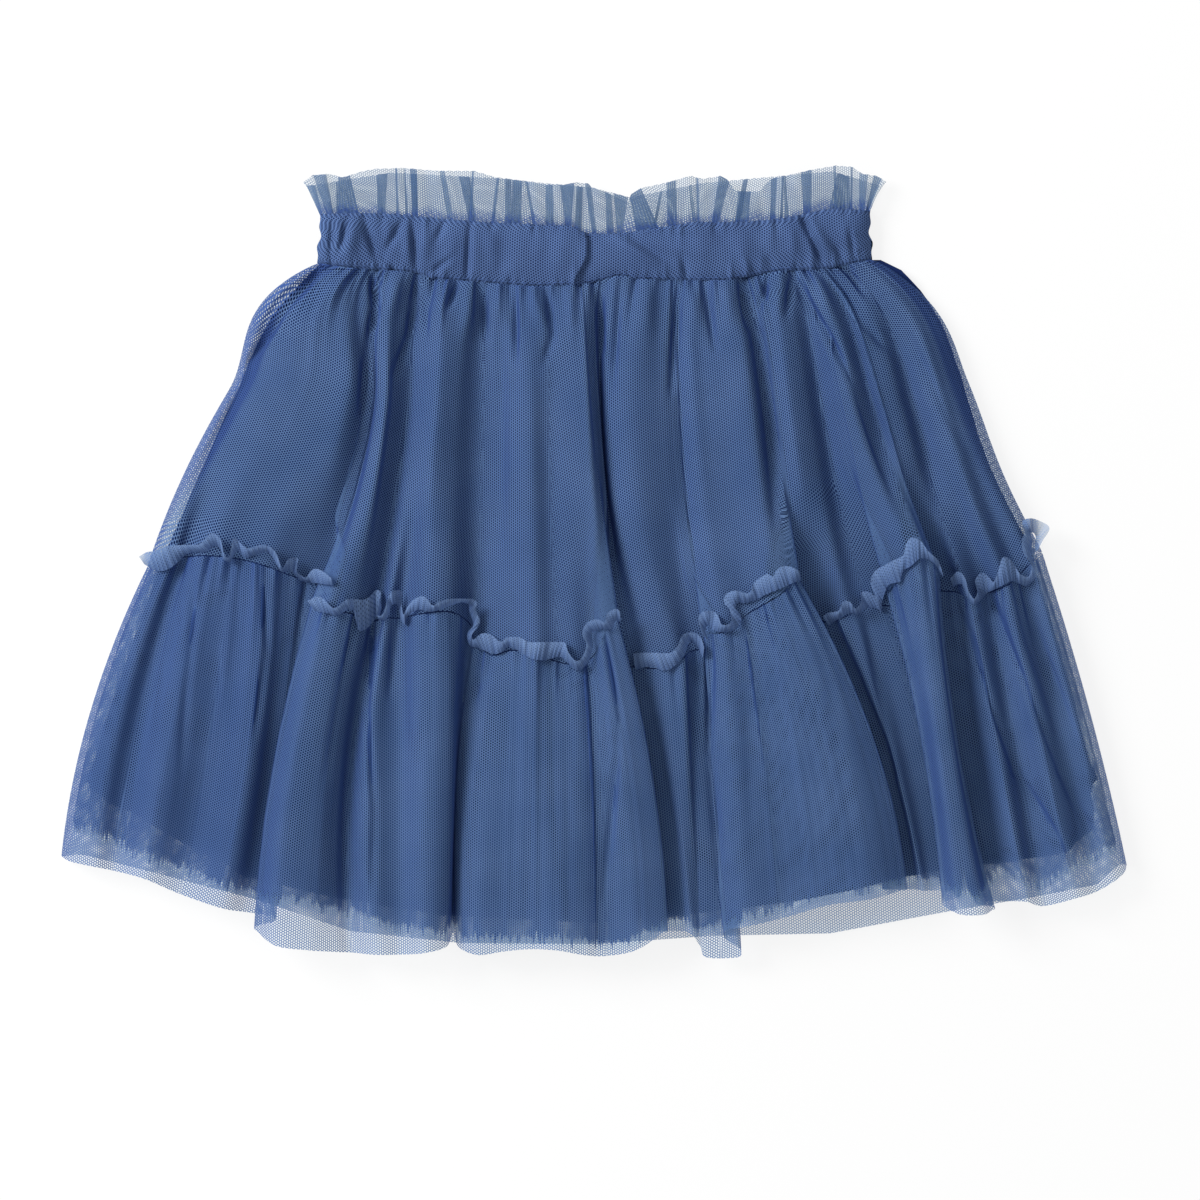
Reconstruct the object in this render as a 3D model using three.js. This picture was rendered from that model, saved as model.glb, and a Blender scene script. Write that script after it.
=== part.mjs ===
import * as THREE from "three";

// A small child's tiered tulle skirt, laid out flat: waist towards +Y, hem towards -Y, front up.
// Millimetres, +Z up. The back panel rests flat, two linings lie on it, and the gathered front
// lies over them in folds. The origin is moved at the end to the middle of the underside.

// Wall thicknesses: a net wall counts its fine gathers, the casing wall its hem and elastic
const netWall = 1.2;
const liningWall = 1;
const casingWall = 2.4;
const frillWall = 1;

// Pieces sewn together stop this far from the middle of their seam
const seamEase = 0.25;

// Heights of the middle of each layer above the surface that the skirt lies on
const sideHeight = 2.2;
const backLiningHeight = 3.3;
const frontLiningHeight = 4.6;
const underNetHeight = 6.7;
const casingHeight = 6.4;
const frontFrillHeight = 5.2;

// The waist: half width, puff of the elastic casing, and how the tier below swells out of its seam
const casingHalfWidth = 116;
const casingPuff = 1.4;
const casingEdgeDrop = 2.5;
const casingEdgeWidth = 7;
const waistHeight = 6.2;
const waistSwell = 0.12;
const hipFlare = { left: 11, right: 8 };
const hipFlareEnd = 0.42;

// A fold's edge turns with this radius before the cloth runs back under it
const bendRadius = 1.6;
const flatStep = 0.8;
const foldStarts = 2.5;
const foldWhole = 6;
const netPuff = 1.5;

// Frills: heights, wave counts and how far the waves stand out
const tierFrillHeight = 6.3;
const tierFrillFoot = 0.2;
const tierFrillWave = 6.6;
const tierFrillLift = 2.7;
const tierFrillSwing = 1.2;
const waistFrillWaves = 33;
const waistFrillSwing = { base: 0.7, top: 1.8 };
const backFrillRise = 0.9;
const backTierFrillWaves = 40;
const backTierFrillDip = 0.9;

// The back panel and the second net layer stop short of the front's folded side edges
const backSideEase = 0.8;
const underNetInset = 7;

// Lines of the front, one row for each ridge, valley or fold edge, from left to right. Across: the
// distance from the middle at the waist, half way down the upper tier, at the tier seam and at the
// hem. Heights are of the middle of the wall. Bow is how far the line bends aside in the lower tier.
// A tuck says how far the cloth runs back under a fold's edge: + under a right edge, - a left one.
const foldColumns = [
  "waist", "mid", "midZ", "seam", "seamY", "seamZ", "hem", "hemY", "hemZ", "bow", "tuck",
];
const foldRows = [
  [-115.5, -159, 2.2, -187, -1, 2.2, -223.5, -123.5, 2.2, -6, 0],
  [-114, -156, 7.2, -183.5, 0.5, 9, -219, -125.5, 8.5, -5.5, 0],
  [-110.5, -152, 6.4, -176.5, 1.5, 11.5, -209, -127.5, 12, -5, 0],
  [-108, -145.5, 11, -171.5, 2, 9, -200, -129.5, 9, -3.5, 0],
  [-105, -135, 13.5, -162, 2.5, 14.5, -187.5, -132.5, 15, -1, 0],
  [-102, -124.5, 14.5, -150.5, 1.5, 14.5, -173, -139, 10.5, 2, 0],
  [-99, -114, 15.5, -138, -1.5, 16, -156, -144.5, 15, 4, 0],
  [-96.5, -104.5, 16.5, -127.5, -5.5, 12.5, -146, -146.5, 9.5, 1, 0],
  [-94, -98.5, 12, -116, -9, 9.5, -135, -148, 9, -2, 0],
  [-90.5, -96, 9.5, -118, -18.5, 16, -142, -154.5, 15, -4, -9],
  [-88, -93, 14, -110.5, -20.5, 21, -132.5, -160, 21, -4, 0],
  [-82.5, -88.5, 17, -102, -21.5, 19, -118.5, -162, 19, -3, 0],
  [-77, -86, 13, -96.5, -23, 15, -107.5, -163, 13.5, -5, 0],
  [-71.5, -80.5, 8.5, -91.5, -24.5, 9.5, -101.5, -163.5, 9.5, -6, 0],
  [-68, -76, 12, -86.5, -23.5, 14, -90.5, -164, 17, -6, 0],
  [-64.5, -71.5, 16, -81, -23.5, 11, -80.5, -164, 15, -1, 0],
  [-59.5, -66.5, 18.5, -70.5, -21.5, 20, -70.5, -163, 21, 0, 0],
  [-53, -58.5, 15, -59.5, -21, 19, -61.5, -160.5, 17, 1, 0],
  [-48.5, -51.5, 10, -52, -26, 11, -59, -155, 9, -2, 0],
  [-45.5, -46, 9, -49.5, -33.5, 10, -56.5, -161, 12, -4, 0],
  [-40.5, -39, 10.5, -43, -39, 13, -48.5, -164, 18, -3, 0],
  [-34.5, -34, 15.5, -34.5, -37, 15, -37.5, -162.5, 18, 0, 0],
  [-27, -26, 18, -24.5, -38.5, 19, -26, -161.5, 19, 0, 0],
  [-20, -19, 15.5, -16, -41.5, 17, -15, -162, 21, 0, 0],
  [-14.5, -12, 17, -7.5, -43, 18, -4, -164, 19, 1, 0],
  [-9, -5, 18.5, -1, -40, 17, 5, -164.5, 16, 2, 0],
  [-5.5, -1, 19, 4, -31, 21, 17.5, -162, 18, 3, 0],
  [-2.5, 2.5, 16.5, 10.5, -22.5, 20, 31, -154.5, 16, 4, 9],
  [3.5, 4.5, 7.5, 17.5, -44, 9.5, 37, -154.5, 9.5, 3, 0],
  [11, 7.5, 13.5, 27, -44.5, 13, 41, -156, 11, 1, 0],
  [20, 17, 17, 36, -40.5, 14, 44.5, -161, 9.5, 0, 0],
  [28.5, 29.5, 14, 42, -37, 10, 47, -165.5, 9.5, -1, 0],
  [34.5, 35.5, 11, 46, -30, 16, 54, -153.5, 15, -1, -8],
  [40.5, 43.5, 15, 54.5, -29, 20, 64, -152, 20, 0, 0],
  [48, 54.5, 15, 64.5, -21.5, 19, 80.5, -148, 19, 2, 0],
  [56.5, 67.5, 17.5, 73, -16.5, 22.5, 97.5, -143, 22, 4, 0],
  [62, 72, 11, 79, -12.5, 24, 115, -140.5, 23, 6, 0],
  [65.5, 77.5, 12, 86, -6.5, 21, 130.5, -137, 17, 8, 10],
  [71.5, 84, 17, 98.5, -25, 9.5, 133.5, -137, 9.5, 6, 0],
  [77.5, 91.5, 13.5, 106, -22.5, 13, 137.5, -137.5, 12, 3, 0],
  [82.5, 97, 8.5, 113.5, -18.5, 10, 141.5, -137.5, 9.5, 3, 0],
  [85.5, 104.5, 17, 122.5, -11, 17, 145.5, -144.5, 16, 3, -8],
  [90, 111.5, 17.5, 130, -1.5, 23, 153, -147, 22, 1, 0],
  [94, 117, 11.5, 139, 2, 24, 162, -147, 22, -2, 0],
  [96.5, 124, 16, 144.5, -5, 19, 167.5, -145.5, 16, -4, 8],
  [101, 131, 13, 150.5, -12.5, 9.5, 172, -142, 9.5, -2, 0],
  [104.5, 136.5, 8, 157, -16, 15, 180.5, -142, 15, 0, 0],
  [107.5, 143, 13.5, 164.5, -13, 10, 188, -144, 10, 0, 0],
  [110.5, 148, 15.5, 172, -10, 15.5, 201, -140.5, 16, 0, 0],
  [112.5, 151.5, 13, 178, -5, 11, 210, -138, 10.5, 0, 0],
  [114, 155, 11, 183, 0, 13, 217.5, -133.5, 12, 1, 0],
  [115.5, 158.5, 7.2, 186.5, 2.5, 9, 222, -130, 8, 2, 0],
  [116.5, 161, 2.2, 188, 4, 2.2, 223.5, -127, 2.2, 2, 0],
];
const folds = foldRows.map((row) => Object.fromEntries(row.map((value, i) => [foldColumns[i], value])));

// Outlines as [x, y] from left to right
const frillTop = [
  [-122, 159], [-116, 162.5], [-104.5, 161.5], [-85.5, 165.5], [-60.5, 164], [-39.5, 160.5],
  [-18.5, 158.5], [-1.5, 159], [11, 152.5], [16, 150], [19.5, 156], [41, 161.5], [55, 160.5],
  [60, 156], [68.5, 155], [74, 161.5], [101, 166], [114, 164], [122.5, 159],
];
const backFrillTop = [
  [-119, 158], [-85, 163.5], [-40, 161], [0, 157], [15, 153], [45, 159], [100, 164], [120, 158],
];
const casingTop = [
  [-114.5, 147], [-104.5, 146], [-52, 143], [-14.5, 141], [2.5, 137], [19.5, 138.5], [44.5, 143],
  [78, 145.5], [99, 146], [115.5, 148],
];
const casingBottom = [
  [-116, 126], [-88, 123.5], [-64.5, 120], [-27, 117], [2.5, 114], [19.5, 114], [61.5, 118.5],
  [95, 123.5], [116.5, 126],
];
const liningHem = [
  [-213.5, -91.5], [-174, -108.5], [-140.5, -119], [-81.5, -129.5], [0, -133.5], [128.5, -119],
  [191.5, -100], [211.5, -89.5],
];
const underNetHem = [
  [-219, -112], [-195, -121], [-162, -133.5], [-110, -143.5], [-60, -153], [0, -156], [50, -153],
  [88, -144], [119, -138.5], [172, -130], [202, -129], [217, -121],
];
const backHem = [
  [-222, -121], [-186.5, -130], [-141, -142], [-102.5, -155], [-56.5, -160], [0, -160.5], [50, -157],
  [99, -156], [147.5, -147], [183, -141], [219, -134], [222, -126],
];
const backSeam = [[-187, -2], [-120, -24], [-40, -38], [40, -38], [120, -22], [188, 1]];

// Creases of the casing: where each crosses its top and bottom seam, half width, and height
const creaseColumns = ["top", "bottom", "reach", "rise"];
const creaseRows = [
  [-109.5, -108, 3, 1.2],
  [-104, -102.5, 3, -1.3],
  [-98, -106, 4, 1.3],
  [-95, -76, 4, -1.3],
  [-79, -88, 4, -1.1],
  [-62.5, -66, 4, -1],
  [-52, -53.5, 4, 1.2],
  [-12, -17, 7, 1.4],
  [-3, -8, 4, -2],
  [10, 28, 5, 1.3],
  [36, 37, 4, -1.2],
  [60, 62, 5, 0.8],
  [85, 95, 4, -1.8],
  [92, 102, 4, 1.3],
  [104, 106, 3, -1],
];
const creases = creaseRows.map((row) =>
  Object.fromEntries(row.map((value, i) => [creaseColumns[i], value])));

const fabric = (color) => new THREE.MeshStandardMaterial({
  color,
  roughness: 0.85,
  metalness: 0,
  side: THREE.DoubleSide,
});
const netBlue = fabric(0x57709f);
const casingBlue = fabric(0x4a5f8a);
const liningBlue = fabric(0x3f5586);
const frillBlue = fabric(0x6f86b3);

const { lerp, clamp, smoothstep } = THREE.MathUtils;

// The height of an outline at x, straight between its points
function outlineAt(points, x) {
  const last = points.length - 1;
  let i = 1;
  while (i < last && points[i][0] < x) i += 1;
  const [x0, y0] = points[i - 1];
  const [x1, y1] = points[i];
  return lerp(y0, y1, clamp((x - x0) / (x1 - x0), 0, 1));
}

// A smooth curve through four neighbouring values, between the middle two
function through(a, b, c, d, t) {
  const bend = (2 * a - 5 * b + 4 * c - d) * t * t + (3 * b - a - 3 * c + d) * t * t * t;
  return 0.5 * (2 * b + (c - a) * t + bend);
}

// Threads run down the cloth from waist to hem: one for each plain line, six round each tucked fold
const tuckSteps = 5;
const threads = [];
folds.forEach((fold, i) => {
  if (fold.tuck === 0) {
    threads.push({ fold, step: 0, facing: 0 });
    return;
  }
  const facing = Math.sign(fold.tuck);
  const beneath = folds[i + facing];
  for (let k = 0; k <= tuckSteps; k += 1) {
    const step = facing > 0 ? k : tuckSteps - k;
    threads.push({ fold, beneath, step, facing });
  }
});

// Where a thread lies round its fold's edge, for the places and heights of the fold and of the
// cloth beneath it: over the edge, back under it and round again, as far as the drop allows
function aroundEdge(thread, x, z, zBeneath, share) {
  if (thread.facing === 0) return { x, z };
  const { step, facing, fold } = thread;
  const reach = Math.abs(fold.tuck);
  const folded = share * smoothstep(z - zBeneath, foldStarts, foldWhole);
  const back = [bendRadius, 0, bendRadius, reach - bendRadius, reach, reach - bendRadius][step];
  const heights = [
    z, z - bendRadius, z - 2 * bendRadius, zBeneath + 2 * bendRadius, zBeneath + bendRadius, zBeneath,
  ];
  const plainBack = (tuckSteps / 2 - step) * flatStep;
  const plainZ = lerp(z, (z + zBeneath) / 2, step / tuckSteps);
  return {
    x: x - facing * lerp(plainBack, back, folded),
    z: lerp(plainZ, heights[step], folded),
  };
}

// Height of a fold line in the upper tier: it swells out of the waist seam and runs on to the next
function upperHeight(fold, v) {
  const swollen = waistHeight + waistSwell * (fold.midZ - waistHeight);
  const waist = fold.midZ === sideHeight ? sideHeight : swollen;
  if (v < 0.5) return lerp(waist, fold.midZ, Math.sin(Math.PI * v));
  return lerp(fold.midZ, fold.seamZ, smoothstep(v, 0.5, 1));
}

function upperThread(thread, v) {
  const { fold, beneath, step } = thread;
  const side = Math.abs(fold.waist / casingHalfWidth) ** 4;
  const flare = fold.waist < 0 ? -hipFlare.left : hipFlare.right;
  const hip = side * flare * Math.sin(Math.PI * Math.min(v / hipFlareEnd, 1));
  const ends = fold.waist * (1 - v) * (1 - 2 * v) + fold.seam * v * (2 * v - 1);
  const curve = ends + fold.mid * 4 * v * (1 - v);
  const under = beneath ? upperHeight(beneath, v) : 0;
  const place = aroundEdge(thread, curve + hip, upperHeight(fold, v), under, smoothstep(v, 0.55, 0.95));
  const seamY = beneath ? lerp(fold.seamY, beneath.seamY, step / tuckSteps) : fold.seamY;
  const top = outlineAt(casingBottom, fold.waist) - seamEase;
  return new THREE.Vector3(place.x, lerp(top, seamY + seamEase, v), place.z);
}

function lowerHeight(fold, v) {
  const puff = netPuff * Math.sin(Math.PI * v) * smoothstep(fold.hemZ, 9, 16);
  return lerp(fold.seamZ, fold.hemZ, smoothstep(v, 0, 1)) + puff;
}

function lowerThread(thread, v) {
  const { fold, beneath, step } = thread;
  const x = lerp(fold.seam, fold.hem, v) + fold.bow * 4 * v * (1 - v);
  const place = aroundEdge(thread, x, lowerHeight(fold, v), beneath ? lowerHeight(beneath, v) : 0, 1);
  const share = step / tuckSteps;
  const seamY = beneath ? lerp(fold.seamY, beneath.seamY, share) : fold.seamY;
  const hemY = beneath ? lerp(fold.hemY, beneath.hemY, share) : fold.hemY;
  return new THREE.Vector3(place.x, lerp(seamY - seamEase, hemY, v), place.z);
}

// A point of a tier between its threads, and the direction that faces out of the cloth there
function onTier(tierThread, s, v) {
  const last = threads.length - 1;
  const i = Math.min(Math.floor(s), last - 1);
  const near = [i - 1, i, i + 1, i + 2].map((n) => tierThread(threads[clamp(n, 0, last)], v));
  const values = ["x", "y", "z"].map((axis) => through(...near.map((point) => point[axis]), s - i));
  return new THREE.Vector3(...values);
}

// Columns of the front's walls: every thread, and one between two threads that lie far apart
const columnSpread = 7.5;
const columns = [];
threads.forEach((thread, i) => {
  columns.push(i);
  const next = threads[i + 1];
  if (next && next.facing === 0 && thread.facing === 0 && next.fold.hem - thread.fold.hem > columnSpread) {
    columns.push(i + 0.5);
  }
});

const skirt = new THREE.Group();

// One closed body from an upper and a lower face of the same rows and columns
function addSolid(name, above, below, material) {
  const across = above[0].length;
  const points = [...above.flat(), ...below.flat()];
  const count = above.length * across;
  const index = [];
  const quad = (a, b, c, d) => index.push(a, b, c, a, c, d);
  for (let row = 0; row < above.length - 1; row += 1) {
    for (let i = 0; i < across - 1; i += 1) {
      const a = row * across + i;
      quad(a, a + across, a + across + 1, a + 1);
      quad(count + a, count + a + 1, count + a + across + 1, count + a + across);
    }
    const left = row * across;
    const right = left + across - 1;
    quad(left, count + left, count + left + across, left + across);
    quad(right, right + across, count + right + across, count + right);
  }
  for (let i = 0; i < across - 1; i += 1) {
    const low = (above.length - 1) * across + i;
    quad(i, i + 1, count + i + 1, count + i);
    quad(low, count + low, count + low + 1, low + 1);
  }
  const geometry = new THREE.BufferGeometry().setFromPoints(points);
  geometry.setIndex(index);
  geometry.computeVertexNormals();
  const mesh = new THREE.Mesh(geometry, material);
  mesh.name = name;
  skirt.add(mesh);
}

// A wall of one thickness about its middle surface, measured across the cloth's folds
function addWall(name, rows, thickness, material) {
  const faces = [thickness / 2, -thickness / 2].map((offset) => rows.map((row) => row.map((point, i) => {
    const before = row[Math.max(i - 1, 0)];
    const after = row[Math.min(i + 1, row.length - 1)];
    const out = new THREE.Vector3(before.z - after.z, 0, after.x - before.x).normalize();
    return point.clone().addScaledVector(out, offset);
  })));
  addSolid(name, faces[0], faces[1], material);
}

// A flat piece between two heights, which may change over it
function addFlat(name, rows, bottom, top, material) {
  const at = (height) => rows.map((row, j) => row.map((point, i) => {
    const z = typeof height === "function" ? height(j, i) : height;
    return new THREE.Vector3(point.x, point.y, z);
  }));
  addSolid(name, at(top), at(bottom), material);
}

// Rows of points between a left and a right edge, and between an upper and a lower outline
function sheetRows(shares, count, left, right, upper, lower) {
  return shares.map((v) => Array.from({ length: count + 1 }, (_, i) => {
    const x = lerp(left(v), right(v), i / count);
    return new THREE.Vector3(x, lerp(upper(x), lower(x), v), 0);
  }));
}

// Back panel: the two tiers rest flat, and the upper one rises over the back frill's heading
const backEdge = (thread, tierThread, v, inset) => tierThread(thread, v).x + inset;
const firstThread = threads[0];
const lastThread = threads[threads.length - 1];
const backRise = 1.3;
const upperShares = [0, 0.1, 0.25, 0.5, 0.75, 0.9, 0.945, 1];
const backUpper = sheetRows(
  upperShares,
  24,
  (v) => backEdge(firstThread, upperThread, v, backSideEase),
  (v) => backEdge(lastThread, upperThread, v, -backSideEase),
  (x) => outlineAt(casingBottom, x) - seamEase,
  (x) => outlineAt(backSeam, x) + seamEase,
);
const backLift = (j) => (j < upperShares.length - 2 ? 0 : backRise);
addFlat("back_upper_tier", backUpper, backLift, (j) => backLift(j) + netWall, netBlue);
const backLower = sheetRows(
  [0, 0.25, 0.5, 0.75, 1],
  28,
  (v) => backEdge(firstThread, lowerThread, v, backSideEase),
  (v) => backEdge(lastThread, lowerThread, v, -backSideEase),
  (x) => outlineAt(backSeam, x) - seamEase,
  (x) => outlineAt(backHem, x),
);
addFlat("back_lower_tier", backLower, 0, netWall, netBlue);
const backFrillHalf = 185;
const backFrillSteps = 2 * backTierFrillWaves;
const backFrill = [tierFrillHeight, tierFrillFoot].map((rise) =>
  Array.from({ length: backFrillSteps + 1 }, (_, i) => {
    const x = lerp(-backFrillHalf, backFrillHalf, i / backFrillSteps);
    const dip = rise > tierFrillFoot && i % 2 === 1 ? backTierFrillDip : 0;
    return new THREE.Vector3(x, outlineAt(backSeam, x) + seamEase + rise - dip, 0);
  }));
addFlat("back_tier_frill", backFrill, 0, frillWall, frillBlue);

// Linings: two plain skirts' halves that hang from the waist seam inside the net
const liningLeft = [[-91.5, -213.5], [0, -180], [72, -145], [100, -128], [125, -109]];
const liningRight = [[-91.5, 211.5], [0, 181], [72, 149], [100, 131], [125, 110]];
const liningTopY = 124;
const liningCornerY = -91;
function addLining(name, height) {
  const rows = sheetRows(
    [0, 0.2, 0.4, 0.6, 0.8, 1],
    18,
    (v) => outlineAt(liningLeft, lerp(liningTopY, liningCornerY, v)),
    (v) => outlineAt(liningRight, lerp(liningTopY, liningCornerY, v)),
    (x) => outlineAt(casingBottom, x) - seamEase,
    (x) => outlineAt(liningHem, x),
  );
  addFlat(name, rows, height - liningWall / 2, height + liningWall / 2, liningBlue);
}
addLining("back_lining", backLiningHeight);
addLining("front_lining", frontLiningHeight);

// Front tiers
const upperRows = [0, 0.06, 0.15, 0.27, 0.44, 0.64, 0.84, 1];
const lowerRows = [0, 0.12, 0.3, 0.5, 0.75, 1];
const frontUpper = upperRows.map((v) => columns.map((s) => onTier(upperThread, s, v)));
const frontLower = lowerRows.map((v) => columns.map((s) => onTier(lowerThread, s, v)));
addWall("front_upper_tier", frontUpper, netWall, netBlue);
addWall("front_lower_tier", frontLower, netWall, netBlue);

// The second net layer of the lower tier hangs under the folds and rises a little below each ridge
const underNetFollow = 0.5;
const underNetSpan = 5;
const underNetCeiling = 9.8;
const underNetColumns = 60;
const underNetShares = [0, 0.12, 0.3, 0.5, 0.75, 0.9];
function rowLowest(v) {
  const points = [];
  for (let s = 0; s <= threads.length - 1; s += 0.25) points.push(onTier(lowerThread, s, v));
  return (x) => {
    const near = points.filter((point) => Math.abs(point.x - x) < underNetSpan);
    return Math.min(...near.map((point) => point.z));
  };
}
const seamLine = folds.filter((fold) => fold.tuck === 0).map((fold) => [fold.seam, fold.seamY]);
const seamBelow = (x) => Math.min(...[-8, -4, 0, 4, 8].map((aside) => outlineAt(seamLine, x + aside)));
const underNet = underNetShares.map((v) => {
  const lowest = rowLowest(v);
  const left = lowerThread(firstThread, v).x + underNetInset;
  const right = lowerThread(lastThread, v).x - underNetInset;
  return Array.from({ length: underNetColumns + 1 }, (_, i) => {
    const x = lerp(left, right, i / underNetColumns);
    const rise = clamp(lowest(x) - underNetCeiling, 0, 8) * smoothstep(v, 0, 0.3);
    const share = v / underNetShares[underNetShares.length - 1];
    const y = lerp(seamBelow(x) - seamEase, outlineAt(underNetHem, x), share);
    return new THREE.Vector3(x, y, underNetHeight + underNetFollow * rise);
  });
});
addWall("under_net_layer", underNet, liningWall, netBlue);

// Heading frill of the tier seam, in the stretches that show between the tucked folds. It is made
// from the upper tier's own points, moved out and waved.
const frillStretches = [
  [0, 7.9], [13.4, 33.1], [38.3, 41.2], [46.3, 53.1], [58.3, 60.2], [65.4, 70.1], [75.2, 82],
];
const pathStep = 0.1;
const upperTierDepth = 130;
const upright = new THREE.Vector3(0, 0, 1);
function frillPoint(s, rise, wave) {
  const v = 1 - rise / upperTierDepth;
  const here = onTier(upperThread, s, v);
  const ahead = onTier(upperThread, Math.min(s + pathStep, threads.length - 1), v);
  const behind = onTier(upperThread, Math.max(s - pathStep, 0), v);
  const out = new THREE.Vector3(behind.z - ahead.z, 0, ahead.x - behind.x).normalize();
  out.add(upright).normalize();
  return here.addScaledVector(out, tierFrillLift + wave);
}
function addTierFrill(name, start, end) {
  const stops = [start];
  let along = 0;
  let previous = onTier(upperThread, start, 1);
  for (let s = start + pathStep; s <= end; s += pathStep) {
    const point = onTier(upperThread, s, 1);
    along += point.distanceTo(previous);
    previous = point;
    if (along > tierFrillWave / 4) {
      stops.push(s);
      along = 0;
    }
  }
  const rows = [tierFrillHeight, tierFrillFoot].map((rise) => stops.map((s, i) => {
    const isTop = rise === tierFrillHeight;
    const swing = tierFrillSwing * Math.sin((Math.PI / 2) * i) * (isTop ? 1 : 0.6);
    const lean = isTop ? Math.cos((Math.PI / 2) * i) : 0;
    return frillPoint(s, rise + lean, swing);
  }));
  addWall(name, rows, frillWall, frillBlue);
}
frillStretches.forEach(([start, end], i) => addTierFrill(`front_tier_frill_${i + 1}`, start, end));

// Elastic casing: a plain back half that rests flat, and a front half in gathers
const casingShares = [0, 0.2, 0.5, 0.8, 1];
const casingX = (points, side) => points[side < 0 ? 0 : points.length - 1][0];
const casingGrid = (count) => sheetRows(
  casingShares,
  count,
  (v) => lerp(casingX(casingTop, -1), casingX(casingBottom, -1), v),
  (v) => lerp(casingX(casingTop, 1), casingX(casingBottom, 1), v),
  (x) => outlineAt(casingTop, x) - seamEase,
  (x) => outlineAt(casingBottom, x) + seamEase,
);
addFlat("back_waistband", casingGrid(20), 0, casingWall, casingBlue);
const frontCasing = casingGrid(76);
frontCasing.forEach((row, j) => row.forEach((point) => {
  const v = casingShares[j];
  const fromSide = clamp((casingHalfWidth - Math.abs(point.x)) / casingEdgeWidth, 0, 1);
  const drop = casingEdgeDrop * (1 - fromSide) ** 2;
  let rise = casingPuff * Math.sin(Math.PI * v);
  creases.forEach((crease) => {
    const away = (point.x - lerp(crease.top, crease.bottom, v)) / crease.reach;
    rise += crease.rise * Math.exp(-away * away);
  });
  point.z = casingHeight - drop + rise * fromSide;
}));
addWall("front_waistband", frontCasing, casingWall, casingBlue);

// Waist frills above the casing: the back one rests flat and is waved on its upper side
const frillSteps = 4 * waistFrillWaves;
const waistFrillRows = (shares, topLine) => shares.map((v) =>
  Array.from({ length: frillSteps + 1 }, (_, i) => {
    const left = lerp(topLine[0][0], casingX(casingTop, -1), v);
    const right = lerp(topLine[topLine.length - 1][0], casingX(casingTop, 1), v);
    const x = lerp(left, right, i / frillSteps);
    return new THREE.Vector3(x, lerp(outlineAt(topLine, x), outlineAt(casingTop, x) + seamEase, v), 0);
  }));
const waveAt = (i) => Math.sin((Math.PI / 2) * i) * (0.75 + 0.25 * Math.sin(1.7 * i));
const backWave = (j, i) => frillWall + backFrillRise * (j === 0 ? 1 : 0.6) * (0.5 + 0.5 * waveAt(i));
addFlat("back_waist_frill", waistFrillRows([0, 1], backFrillTop), 0, backWave, frillBlue);
const frontFrill = waistFrillRows([0, 0.5, 1], frillTop);
frontFrill.forEach((row, j) => row.forEach((point, i) => {
  const swing = lerp(waistFrillSwing.top, waistFrillSwing.base, j / 2);
  point.z = frontFrillHeight + swing * waveAt(i);
}));
addWall("front_waist_frill", frontFrill, frillWall, frillBlue);

// The reference point is the middle of the underside of the whole skirt
const box = new THREE.Box3().setFromObject(skirt);
const middle = box.getCenter(new THREE.Vector3());
skirt.position.set(-middle.x, -middle.y, -box.min.z);

export default skirt;
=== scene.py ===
import math
import bpy
import numpy as np
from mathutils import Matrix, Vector


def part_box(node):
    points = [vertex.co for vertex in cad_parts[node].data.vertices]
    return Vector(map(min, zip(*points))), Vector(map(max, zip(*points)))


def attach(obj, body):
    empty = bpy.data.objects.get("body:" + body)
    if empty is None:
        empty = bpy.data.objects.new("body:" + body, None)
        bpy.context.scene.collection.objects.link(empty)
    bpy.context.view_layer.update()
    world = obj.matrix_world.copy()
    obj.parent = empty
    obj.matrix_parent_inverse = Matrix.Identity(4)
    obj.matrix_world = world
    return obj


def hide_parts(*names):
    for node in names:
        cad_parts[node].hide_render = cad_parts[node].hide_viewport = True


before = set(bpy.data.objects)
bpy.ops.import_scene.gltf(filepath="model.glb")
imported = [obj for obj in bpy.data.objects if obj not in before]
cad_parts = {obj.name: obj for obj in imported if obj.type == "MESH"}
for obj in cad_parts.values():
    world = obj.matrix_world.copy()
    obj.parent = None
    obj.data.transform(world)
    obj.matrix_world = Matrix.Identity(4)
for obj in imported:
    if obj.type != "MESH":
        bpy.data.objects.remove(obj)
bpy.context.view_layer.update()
mm = 0.001
scene = bpy.context.scene
scene.view_settings.view_transform = "Standard"

# The skirt was drawn in millimetres from the middle of its waist; the frame's origin is the middle
# of its underside. The back casing half, 232.5 mm across, tells how far apart the two are.
casingHalf = {"left": -116.0, "lowest": 114.25}
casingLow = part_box("back_waistband")[0]
shift = np.array([casingLow[0] / mm - casingHalf["left"], casingLow[1] / mm - casingHalf["lowest"], 0.0])


# Camera: straight above, a long lens, the hem towards the bottom of the frame
cameraSetup = {"centre": (2.5, -16.0), "viewWidth": 504.0, "distance": 2400.0, "sensor": 36.0}


def placeCamera(setup):
    data = bpy.data.cameras.new("overhead")
    camera = bpy.data.objects.new("overhead", data)
    scene.collection.objects.link(camera)
    data.sensor_width = setup["sensor"]
    data.lens = setup["sensor"] * setup["distance"] / setup["viewWidth"]
    x, y = (np.array(setup["centre"]) + shift[:2]) * mm
    camera.location = (x, y, setup["distance"] * mm)
    scene.camera = camera


placeCamera(cameraSetup)
print("camera placed")


# Materials
def linear(hexColour):
    channels = [int(hexColour[i:i + 2], 16) / 255 for i in (1, 3, 5)]
    return [c / 12.92 if c <= 0.04045 else ((c + 0.055) / 1.055) ** 2.4 for c in channels] + [1.0]


def addNode(tree, kind, links=None, **settings):
    node = tree.nodes.new(kind)
    for name, value in settings.items():
        setattr(node, name, value)
    for socket, source in (links or {}).items():
        if isinstance(source, bpy.types.NodeSocket):
            tree.links.new(source, node.inputs[socket])
        else:
            node.inputs[socket].default_value = source
    return node


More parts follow.
